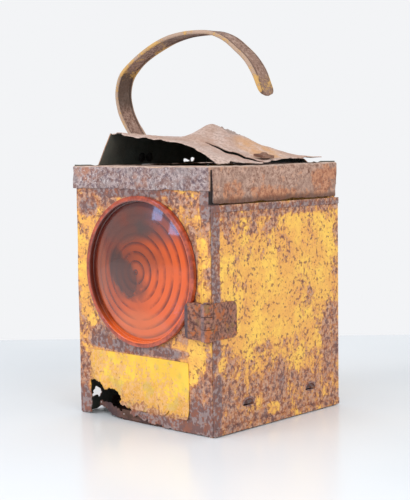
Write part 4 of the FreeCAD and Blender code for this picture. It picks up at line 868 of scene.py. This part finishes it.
def build_roof():
    """The torn sheet: sloping, folded, creased open in front of the fold, and dented."""
    slot_line, slot_wide = -0.6, 1.3
    us = spans((ROOF_LEFT, ROOF_RIGHT, 1.25))
    vs = spans((-77, -22, 1.25), (-22, -8, 0.5), (-8, ROOF_BACK, 1.25))
    front_teeth, ends = torn_edge(91, 8, 1.3), torn_edge(97, 14, 1.2)
    lumps, fine = waves(101, 22), waves(103, 8)

    def kept(grid):
        x, y = grid[:, 0], grid[:, 1]
        calm = 1 - 0.75 * smooth((x - 40) / 20)
        front = y - roof_front(x) - 0.6 - np.abs(front_teeth(grid)) * calm
        behind, along = crease_side(x, y)
        wide = slot_wide * np.sin(np.clip(along, 0, 1) * math.pi) ** 0.4
        slot = np.where((along > 0) & (along < 1), np.abs(behind - slot_line) - wide * 0.5, 9)
        right = ROOF_RIGHT - x + 0.05 - 1.1 * np.maximum(ends(one_way(y)), 0)
        return np.minimum(np.minimum(front, slot), right)

    flat, faces = clipped_grid(us, vs, kept)
    x, y = flat[:, 0], flat[:, 1]
    z = roof_height(x, y)
    behind, along = crease_side(x, y)
    window = np.sin(np.clip(along, 0, 1) * math.pi) ** 0.7
    lip = 1.9 * window * np.where(behind > slot_line, np.exp(-np.maximum(behind, 0) / 7), 0)
    tuck = -0.7 * window * np.where(behind <= slot_line, np.exp(behind / 6), 0)
    right_edge = smooth((x - 40) / 40)
    ripple = right_edge * 1.1 * waves(107, 55)(one_way(y, 3))
    droop = 2.4 * smooth((x - ROOF_LEFT - 8) / 22) * (1 - smooth((x - 8) / 26))
    z -= droop * (1 - smooth((y - roof_front(x)) / 26))
    z += lip + tuck + 0.55 * lumps(flat) * (1 - 0.5 * right_edge) + 0.14 * fine(flat) + ripple
    z = np.maximum(z, LID_TOP + 0.9)
    points = np.column_stack([x, y, z])
    sheet("roof_skin", points, faces, [roof_rust(), inside_dark], 0.8, "roof_sheet", 60)


def build_ridge_teeth():
    """The jagged lip left standing where the back of the fold has torn away."""
    teeth = torn_edge(113, 5, 1.0)
    run = np.linalg.norm(FOLD_RUN)
    us, vs = spans((2, 27, 0.7)), spans((-2, 3, 0.5))

    def kept(grid):
        share = (grid[:, 0] - 2) / 25
        top = 1.2 * np.sin(np.clip(share, 0, 1) * math.pi) ** 0.5 + teeth(one_way(grid[:, 0]))
        return top - grid[:, 1]

    flat, faces = clipped_grid(us, vs, kept)
    way, out = FOLD_RUN / run, np.array([-FOLD_RUN[1], FOLD_RUN[0]]) / run
    along = FOLD_PEAK + flat[:, :1] * way + (0.5 + flat[:, 1:] * 0.35) * out
    z = roof_height(along[:, 0], along[:, 1]) + flat[:, 1] * 0.9
    points = np.column_stack([along, z])
    piece = new_piece("roof_torn_lip", points, faces, "case",
                      [bpy.data.materials["roof_rust"]], 60)
    thicken(piece, 0.8, 0)


def build_turret_walls():
    """The raised roof's left wall, with two rust holes, and its back wall."""
    holes = [[(34, 1.2), (36, 4.6), (40.5, 3.2), (44, 2.2), (41, 0.9)],
             [(44.5, 3.2), (46, 6.2), (50.5, 4.6), (49.5, 1.2), (46, 0.9)]]
    foot_front, foot_back, seat = -73, TURRET_Y + 2, 0.2
    teeth, top_teeth = torn_edge(127, 4, 0.45), torn_edge(131, 7, 0.8)
    us, vs = spans((0, 1, 1 / 110)), spans((0, 1, 1 / 24))

    def left_place(grid):
        share, rise = grid[:, 0], grid[:, 1]
        foot_y = foot_front + (foot_back - 0.4 - foot_front) * share
        front = float(roof_front(np.array([ROOF_LEFT]))[0])
        head_y = front + (ROOF_BACK - front) * share
        top = roof_height(np.full(len(grid), ROOF_LEFT), head_y) - 0.5
        return np.column_stack([WALL_FOOT + WALL_LEAN * rise, foot_y + (head_y - foot_y) * rise,
                                LID_TOP + seat + (top - LID_TOP) * rise])

    def left_kept(grid):
        spot = left_place(grid)[:, 1:] - (0, LID_TOP)
        gap = np.minimum(*[outline_distance(spot, hole) for hole in holes]) + teeth(spot)
        return np.minimum(gap, (1 - grid[:, 1]) * 24 - np.abs(top_teeth(spot)) * 0.15)

    flat, faces = clipped_grid(us, vs, left_kept)
    faces = [face[::-1] for face in faces]
    points = left_place(flat)
    points[:, 0] += 0.25 * waves(137, 20)(points[:, 1:]) * smooth(flat[:, 1] * 4)
    outside = rusted("turret_rust", ["6b4a3c", "8d6a58", "a87a5c", "b8a097"])
    sheet("turret_left_wall", points, faces, [outside, inside_dark], 1, "roof_left_wall")

    def back_place(grid):
        share, rise = grid[:, 0], grid[:, 1]
        west = ROOF_LEFT - 2.8 + 3.2 * rise
        x = west + (TURRET_X - west) * share
        shifts = [roof_height(x + d, np.full(len(x), ROOF_BACK)) for d in (-4, 0, 4)]
        top = np.min(shifts, axis=0) - 0.9
        return np.column_stack([x, foot_back + (ROOF_BACK - foot_back) * rise,
                                LID_TOP + seat + (top - LID_TOP) * rise])

    def back_kept(grid):
        spot = back_place(grid)[:, ::2]
        return (1 - grid[:, 1]) * 20 - np.abs(top_teeth(spot)) * 0.4

    flat, faces = clipped_grid(us, vs, back_kept)
    faces = [face[::-1] for face in faces]
    sheet("turret_back_wall", back_place(flat), faces, [outside, inside_dark], 1,
          "roof_back_wall")


def build_flake():
    """A dark flake of the floor pan, curled up inside the rust hole."""
    teeth = torn_edge(139, 5, 0.9)
    us, vs = spans((-64, 26, 0.9)), spans((0, 12, 0.9))

    def kept(grid):
        x, rise = grid[:, 0], grid[:, 1]
        top = 10.2 - 4.5 * smooth((x + 58) / 34) - 1.6 * smooth((x + 16) / 40) + teeth(grid)
        foot = 5.6 * smooth(1 - (x + 64) / 26)
        return np.minimum(np.minimum(top - rise, rise - foot - teeth(grid) * 0.5), 26 - x)

    flat, faces = clipped_grid(us, vs, kept)
    x, rise = flat[:, 0], flat[:, 1]
    y = FRONT + 2.0 + 5.5 * smooth(1 - (x + 64) / 40) + 0.2 * rise + 0.4 * waves(149, 12)(flat)
    points = np.column_stack([x, y, rise + 1.0])
    flaky = rusted("flake_rust", ["33272a", "4c3839", "6a4a40", "7d6660"])
    piece = new_piece("floor_flake", points, faces, "case", [flaky], 60)
    thicken(piece, 0.8, 0)


# ------------------------------------------------------------------ strap handle
# The strap's middle above its foot: across, and up from the cap.
STRAP_LINE = [(-65.6, 20), (-71.5, 26.8), (-80.5, 38.5), (-86, 49), (-89, 63.5), (-85.5, 77.5),
              (-77.5, 86.5), (-64.5, 95.3), (-47, 103.6), (-28, 110), (-8, 113.4), (12, 114),
              (28, 112.4), (43, 106.6), (56, 97.6), (67, 88.5), (75.5, 77.5), (81.5, 64.5),
              (84.3, 57)]


def curve_through(points, count):
    """Evenly spaced points on a smooth curve through the given ones, and the curve's length."""
    points = np.array(points, float)
    ends = np.vstack([2 * points[0] - points[1], points, 2 * points[-1] - points[-2]])
    dense = []
    for a, b, c, d in zip(ends, ends[1:], ends[2:], ends[3:]):
        for t in np.linspace(0, 1, 12, endpoint=False):
            dense.append(0.5 * (2 * b + (c - a) * t + (2 * a - 5 * b + 4 * c - d) * t ** 2
                                + (3 * b - a - 3 * c + d) * t ** 3))
    dense.append(points[-1])
    dense = np.array(dense)
    reach = np.concatenate([[0], np.cumsum(np.linalg.norm(np.diff(dense, axis=0), axis=1))])
    even = np.linspace(0, reach[-1], count)
    return np.stack([np.interp(even, reach, column) for column in dense.T], axis=1), reach[-1]


def build_strap():
    """The strap from its foot on the leaning wall round to its broken end."""
    slope, stand = WALL_LEAN / WALL_RISE, 1.4
    feet = [(WALL_FOOT + slope * rise - stand, rise) for rise in (2, 6, 10, 13.5)]
    line, long = curve_through(feet + STRAP_LINE, 190)
    way = np.gradient(line, axis=0)
    way /= np.linalg.norm(way, axis=1, keepdims=True)
    out = np.stack([-way[:, 1], way[:, 0]], axis=1)
    lengths = np.linspace(0, long, len(line))
    half, corner, middle = 9.5, 7.5, -16
    to_tip = np.clip(long - lengths, 0, corner)
    end_share = np.sqrt(np.maximum(corner ** 2 - (corner - to_tip) ** 2, 0.0))
    width = np.where(long - lengths < corner, half - corner + end_share, half)
    width = width + 0.22 * waves(151, 24)(one_way(lengths))
    # Across the strap (share of half its width) and outward: a shallow channel with rolled rims.
    ring = [(-1, -1.6), (-1, 0.3), (-0.94, 0.9), (-0.8, 1.1), (0, 1.0), (0.8, 1.1), (0.94, 0.9),
            (1, 0.3), (1, -1.6), (0.94, -2.3), (0.84, -2.2), (0.78, -1.3), (0.6, -1.0), (0, -0.9),
            (-0.6, -1.0), (-0.78, -1.3), (-0.84, -2.2), (-0.94, -2.3)]
    points, faces = [], []
    twist = 0.02 * waves(157, 90)(one_way(lengths))
    sway = 0.35 * waves(163, 70)(one_way(lengths))
    settle = smooth(lengths / 40)
    rolled = smooth(lengths / 30 - 0.6) * smooth((long - lengths) / 12)
    for k in range(len(line)):
        for across, up in ring:
            y = across * width[k]
            lift = max(up, -1.1 - 1.2 * rolled[k]) + y * twist[k] * settle[k]
            spot = line[k] + out[k] * lift
            points.append((spot[0], middle + y + sway[k] * settle[k], LID_TOP + spot[1]))
    count = len(ring)
    for k in range(len(line) - 1):
        for i in range(count):
            j = (i + 1) % count
            faces.append((k * count + i, k * count + j, (k + 1) * count + j, (k + 1) * count + i))
    faces.append(tuple(range(count))[::-1])
    faces.append(tuple((len(line) - 1) * count + i for i in range(count)))
    piece = new_piece("strap", points, faces, "case", [strap_finish()], 60)
    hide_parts("handle_strap")


# ------------------------------------------------------------------ lens
# Distance between the dark lines that the lens's ring steps make.
RING_PITCH = 7.7


def lens_profile():
    """(radius, y) round the lens section: rim, sunk dome outside, stepped rings inside, barrel."""
    dome_radius, sunk, rise = RIM_RADIUS - 4.7, 4.6, 6.6
    barrel, wall = dome_radius + 2, 2.0
    edge = RIM_FRONT + sunk
    curve = (dome_radius ** 2 + rise ** 2) / (2 * rise)
    centre = edge - rise + curve
    outline = [(RIM_RADIUS, FRONT - 0.6), (RIM_RADIUS, RIM_FRONT + 1.1),
               (RIM_RADIUS - 0.35, RIM_FRONT + 0.35), (RIM_RADIUS - 1.1, RIM_FRONT),
               (dome_radius + 1.1, RIM_FRONT), (dome_radius + 0.35, RIM_FRONT + 0.35),
               (dome_radius, RIM_FRONT + 1.1), (dome_radius, edge - 0.4)]
    for radius in np.linspace(dome_radius - 0.6, 0.4, 34):
        outline.append((radius, centre - math.sqrt(curve ** 2 - radius ** 2)))
    inner = barrel - wall
    inside_curve = curve - 2.5

    def inside(radius, extra):
        return centre - math.sqrt(inside_curve ** 2 - radius ** 2) + extra

    rings = 9
    for ring in range(rings):
        near, away = inner * (ring + 0.04) / rings, inner * (ring + 0.9) / rings
        crest = 0.5 + 1.7 * (ring + 1) / rings
        outline.append((max(near, 0.4), inside(near, crest)))
        outline.append(((near + away) / 2, inside((near + away) / 2, crest * 0.42)))
        outline.append((away, inside(away, 0)))
        outline.append((inner * (ring + 0.99) / rings, inside(away, 0)))
    outline += [(inner, LENS_BACK), (barrel, LENS_BACK), (barrel, FRONT - 0.6)]
    return outline


def amber_plastic():
    """Amber plastic: clear at heart, hazy with old dirt, its ring steps showing as dark lines, with
    painted light and shade: a glow toward the lower right, the bulb holder's shadow, a highlight low
    down, a dark reflection across the top and shade in the rim's groove.
    """
    f = Finish("amber_plastic")
    up = f.math("SUBTRACT", f.z, LENS_HEIGHT * MM)
    ring = f.math("SQRT", f.add(f.times(f.x, f.x), f.times(up, up)))
    rim = f.step(ring, 58.6 * MM, 60.0 * MM)
    dust = f.noise(6, 5, 0.62)
    cloud = f.noise(30, 4, 0.55)
    turn = f.math("DIVIDE", f.math("SUBTRACT", ring, 3 * MM), RING_PITCH * MM)
    phase = f.math("FRACT", f.math("ADD", turn, f.times(f.math("SUBTRACT", cloud, 0.5), 0.12)))
    line = f.times(f.step(phase, 0.42, 0.92), f.rest(f.step(phase, 0.93, 1.0)))
    line = f.times(line, f.step(f.add(cloud, f.times(dust, 0.5)), 0.50, 0.86))
    # Painted glow: brighter orange toward the lower right, as if lit through the lens from inside, and
    # darker toward the upper left.
    lean = f.add(f.times(f.x, 7.5), f.times(up, -6.5))
    painted_glow = f.step(f.add(lean, f.times(f.math("SUBTRACT", cloud, 0.5), 0.5)), -0.42, 0.42)
    colour = f.mix(painted_glow, "8a3a22", "ff6a1a")
    # Painted shadow: the bulb holder's shadow seen through the lens left of centre, broken up by noise;
    # it also makes the plastic cloudier there.
    darkening = f.patches(f.x, f.z, [(-26, 136, 10, 16, 1.0), (-14, 124, 13, 16, 1.0),
                                 (-2, 118, 15, 12, 0.8), (4, 140, 26, 12, 0.45)])
    darkening = f.math("MULTIPLY", darkening, f.step(f.add(dust, f.times(cloud, 0.5)), 0.42, 0.72), clamp=True)
    colour = f.lay(colour, line, 0.85, "6e1c0c")
    colour = f.lay(colour, darkening, 0.85, "2c1a17")
    # Painted highlight: a pale glossy crescent low on the lens and a fainter band on its left.
    painted_highlight = f.patches(f.x, f.z, [(2, 84, 34, 14, 0.8), (-46, 120, 8, 34, 0.35)])
    colour = f.mix(f.math("MULTIPLY", painted_highlight, 0.5, clamp=True), colour, "f08a58")
    # Painted reflection: dark grey-brown across the top of the lens for the dark surroundings mirrored
    # there, with a dusty veil over it.
    dark_reflection_and_haze = f.patches(f.x, f.z, [(-16, 172, 34, 18, 1.0), (24, 172, 24, 16, 0.7)])
    colour = f.mix(f.math("MULTIPLY", f.times(dark_reflection_and_haze, f.step(cloud, 0.2, 0.6)), 0.75, clamp=True),
                   colour, "5e443e")
    # Painted shade: dark red in the groove inside the rim on its upper left, where the rim's inner wall
    # is in shadow.
    shaded_side = f.add(f.times(f.x, -11.0), f.times(up, 9.0))
    groove = f.times(f.within(ring, 55.2, 60.4, 0.7), f.step(shaded_side, -0.1, 0.35))
    colour = f.lay(colour, groove, 0.8, "5a1a10")
    edge = f.mix(f.step(dust, 0.35, 0.65), "8a3018", "c25230")
    colour = f.mix(f.times(rim, f.step(ring, 60.0 * MM, 61.0 * MM)), colour, edge)
    clear = f.shader(f.mix(0.35, colour, "ff8030"), Transmission_Weight=1.0, IOR=1.49, Roughness=0.04)
    cloudy = f.shader(colour, Roughness=0.22, Coat_Weight=0.8, Coat_Roughness=0.04)
    blend = f.tree.nodes.new("ShaderNodeMixShader")
    f.plug(f.math("MULTIPLY_ADD", f.math("MAXIMUM", rim, darkening), 0.20, 0.66), blend.inputs[0])
    f.tree.links.new(clear.outputs[0], blend.inputs[1])
    f.tree.links.new(cloudy.outputs[0], blend.inputs[2])
    output = f.tree.nodes.new("ShaderNodeOutputMaterial")
    f.tree.links.new(blend.outputs[0], output.inputs["Surface"])
    return f.material


def build_lens():
    piece = turned("lens_moulding", lens_profile(), "case", [amber_plastic()], 180)
    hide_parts("lens")


# ------------------------------------------------------------------ finishes of the CAD nodes
def plain(name, dark, light, rough, metal=0.0, size=4.0, **sockets):
    """A small part's finish: two close tones, grime and fine surface."""
    f = Finish(name)
    fine = f.noise(size, 6, 0.65)
    darkening = f.step(f.noise(size * 3, 4, 0.6), 0.5, 0.7)
    colour = f.mix(f.step(fine, 0.35, 0.65), dark, light)
    colour = f.lay(colour, darkening, 0.5, "3b2c22")
    return f.done(colour, f.math("MULTIPLY_ADD", darkening, 0.25, rough), fine, 0.1, metal, **sockets)


def finish_nodes():
    """The finishes of the pieces that keep their CAD shapes, and their worn edges."""
    hinge = hinge_finish()
    turret = rusted("rivet_rust", ["4a3530", "6b4a3c", "8d6a58", "a08a80"], 3)
    floor_rust = rusted("pan_rust", ["2c211d", "43302a", "5c4034", "6f574c"])
    tinned = plain("tinned_steel", "8a8781", "b3b0a8", 0.35, 0.9)
    silvered = plain("silvered_bowl", "b5a894", "d9d0c0", 0.22, 0.85, 6)
    glass = plain("bulb_glass", "e9e6dc", "f7f6f0", 0.05, Transmission_Weight=1.0)
    brass = plain("worn_brass", "7c5f2d", "b08c48", 0.4, 0.9)
    wrap = plain("battery_card", "2f3d57", "46567a", 0.6, size=9)
    bakelite = plain("bakelite", "241612", "38221b", 0.35)
    rubber = plain("gasket_rubber", "1b1917", "2b2826", 0.85)
    chosen = {
        "back_panel": case_back, "door_panel": case_door, "floor_pan": floor_rust,
        "partition_plate": floor_rust, "lens_gasket": rubber, "lens_retaining_ring": tinned,
        "reflector_clips": tinned, "reflector": silvered, "bulb_holder": brass, "bulb_cap": brass,
        "bulb_glass": glass, "bulb_bracket": tinned, "battery_case": wrap,
        "battery_terminals": brass, "contact_strips": brass, "switch_body": bakelite,
        "switch_lever": tinned, "hinge_fixed_leaf": hinge, "hinge_door_leaf": hinge,
        "hinge_pin": hinge, "hinge_packing": hinge, "turn_catch": turret, "catch_rivet": turret,
        "handle_rivets": rivet_finish(), "handle_lug": turret, "lug_rivet": turret,
    }
    for name, material in chosen.items():
        slots = nodes[name].data.materials
        slots.clear()
        slots.append(material)
    for name in ("door_panel", "hinge_fixed_leaf", "hinge_door_leaf", "turn_catch", "back_panel"):
        worn = nodes[name].modifiers.new("worn_edges", "BEVEL")
        worn.width = 0.3 * MM
        worn.segments = 2
        worn.limit_method = "ANGLE"
        worn.angle_limit = math.radians(50)


# ------------------------------------------------------------------ floor, light, camera
AZIMUTH, ELEVATION, ROLL = (math.radians(a) for a in (42.52, 4.975, -0.783))


def build_floor():
    """A pale glossy table top whose far edge lies a little behind the lamp."""
    f = Finish("table_white")
    colour = f.mix(f.step(f.noise(400, 2, 0.5), 0.4, 0.6), "dfe3e7", "e6e9ec")
    material = f.done(colour, 0.22)
    back, ahead, wide, thick = 0.405, 3.0, 3.0, 0.03
    mesh = bpy.data.meshes.new("table")
    corners = [(-wide, -ahead), (wide, -ahead), (wide, back), (-wide, back)]
    points = [(x, y, z) for z in (0, -thick) for x, y in corners]
    faces = [(0, 1, 2, 3), (7, 6, 5, 4), (0, 4, 5, 1), (1, 5, 6, 2), (2, 6, 7, 3), (3, 7, 4, 0)]
    mesh.from_pydata(points, [], faces)
    mesh.materials.append(material)
    table = bpy.data.objects.new("table", mesh)
    table.rotation_euler = (0, 0, AZIMUTH)
    bpy.context.scene.collection.objects.link(table)


def area_light(name, place, target, size, power, colour, mirrored=True):
    """A lamp aimed at target; mirrored says whether glossy surfaces show it."""
    data = bpy.data.lights.new(name, "AREA")
    data.shape = "RECTANGLE"
    data.size, data.size_y = size
    data.energy = power
    data.color = colour
    light = bpy.data.objects.new(name, data)
    light.location = place
    light.rotation_euler = (Vector(target) - Vector(place)).to_track_quat("-Z", "Y").to_euler()
    light.visible_glossy = mirrored
    bpy.context.scene.collection.objects.link(light)


def build_light():
    """A white room, a key and a fill that show in nothing, and two windows that show in the lens."""
    world = bpy.data.worlds.new("studio")
    bpy.context.scene.world = world
    world.use_nodes = True
    tree = world.node_tree
    tree.nodes.clear()
    output = tree.nodes.new("ShaderNodeOutputWorld")

    def background(colour, strength):
        node = tree.nodes.new("ShaderNodeBackground")
        node.inputs["Color"].default_value = colour
        node.inputs["Strength"].default_value = strength
        return node

    sky = background((0.96, 0.98, 1.0, 1), 1.08)
    mirrored = background((0.93, 0.96, 1.0, 1), 0.6)
    backdrop = background(tone("f3f4f6"), 1.0)
    seen = tree.nodes.new("ShaderNodeLightPath")
    shine = tree.nodes.new("ShaderNodeMixShader")
    tree.links.new(seen.outputs["Is Glossy Ray"], shine.inputs[0])
    tree.links.new(sky.outputs[0], shine.inputs[1])
    tree.links.new(mirrored.outputs[0], shine.inputs[2])
    blend = tree.nodes.new("ShaderNodeMixShader")
    tree.links.new(seen.outputs["Is Camera Ray"], blend.inputs[0])
    tree.links.new(shine.outputs[0], blend.inputs[1])
    tree.links.new(backdrop.outputs[0], blend.inputs[2])
    tree.links.new(blend.outputs[0], output.inputs["Surface"])
    area_light("key", (1.7, -0.5, 1.3), (0, 0, 0.1), (1.3, 1.3), 13, (1.0, 0.99, 0.97), False)
    area_light("fill", (-0.6, -2.0, 1.0), (0, 0, 0.12), (1.4, 1.2), 19, (0.98, 0.99, 1.0), False)
    for place in ((-0.85, -1.26, 0.52), (-0.63, -1.40, 0.416)):
        area_light("window", place, (0.03, -0.085, 0.175), (0.14, 0.14), 0.5, (0.30, 0.52, 1.0))


def build_camera():
    """The camera, a little above the cap and turned toward the front right corner."""
    data = bpy.data.cameras.new("camera")
    data.lens = 88.5
    data.sensor_width = 36
    data.clip_start, data.clip_end = 0.05, 20
    camera = bpy.data.objects.new("camera", data)
    back = Vector((math.sin(AZIMUTH) * math.cos(ELEVATION), -math.cos(AZIMUTH) * math.cos(ELEVATION),
                   math.sin(ELEVATION)))
    right = (-back).cross(Vector((0, 0, 1))).normalized()
    up = right.cross(-back)
    tilted_right = right * math.cos(ROLL) + up * math.sin(ROLL)
    tilted_up = up * math.cos(ROLL) - right * math.sin(ROLL)
    turn = Matrix((tilted_right, tilted_up, back)).transposed().to_4x4()
    camera.matrix_world = Matrix.Translation((0.7372, -0.80796, 0.23848)) @ turn
    bpy.context.scene.collection.objects.link(camera)
    bpy.context.scene.camera = camera
    bpy.context.scene.view_settings.view_transform = "Standard"


build_camera()
build_light()
build_floor()
build_front()
build_label()
build_left_side()
build_lid()
build_roof()
build_ridge_teeth()
build_turret_walls()
build_flake()
build_strap()
build_lens()
finish_nodes()
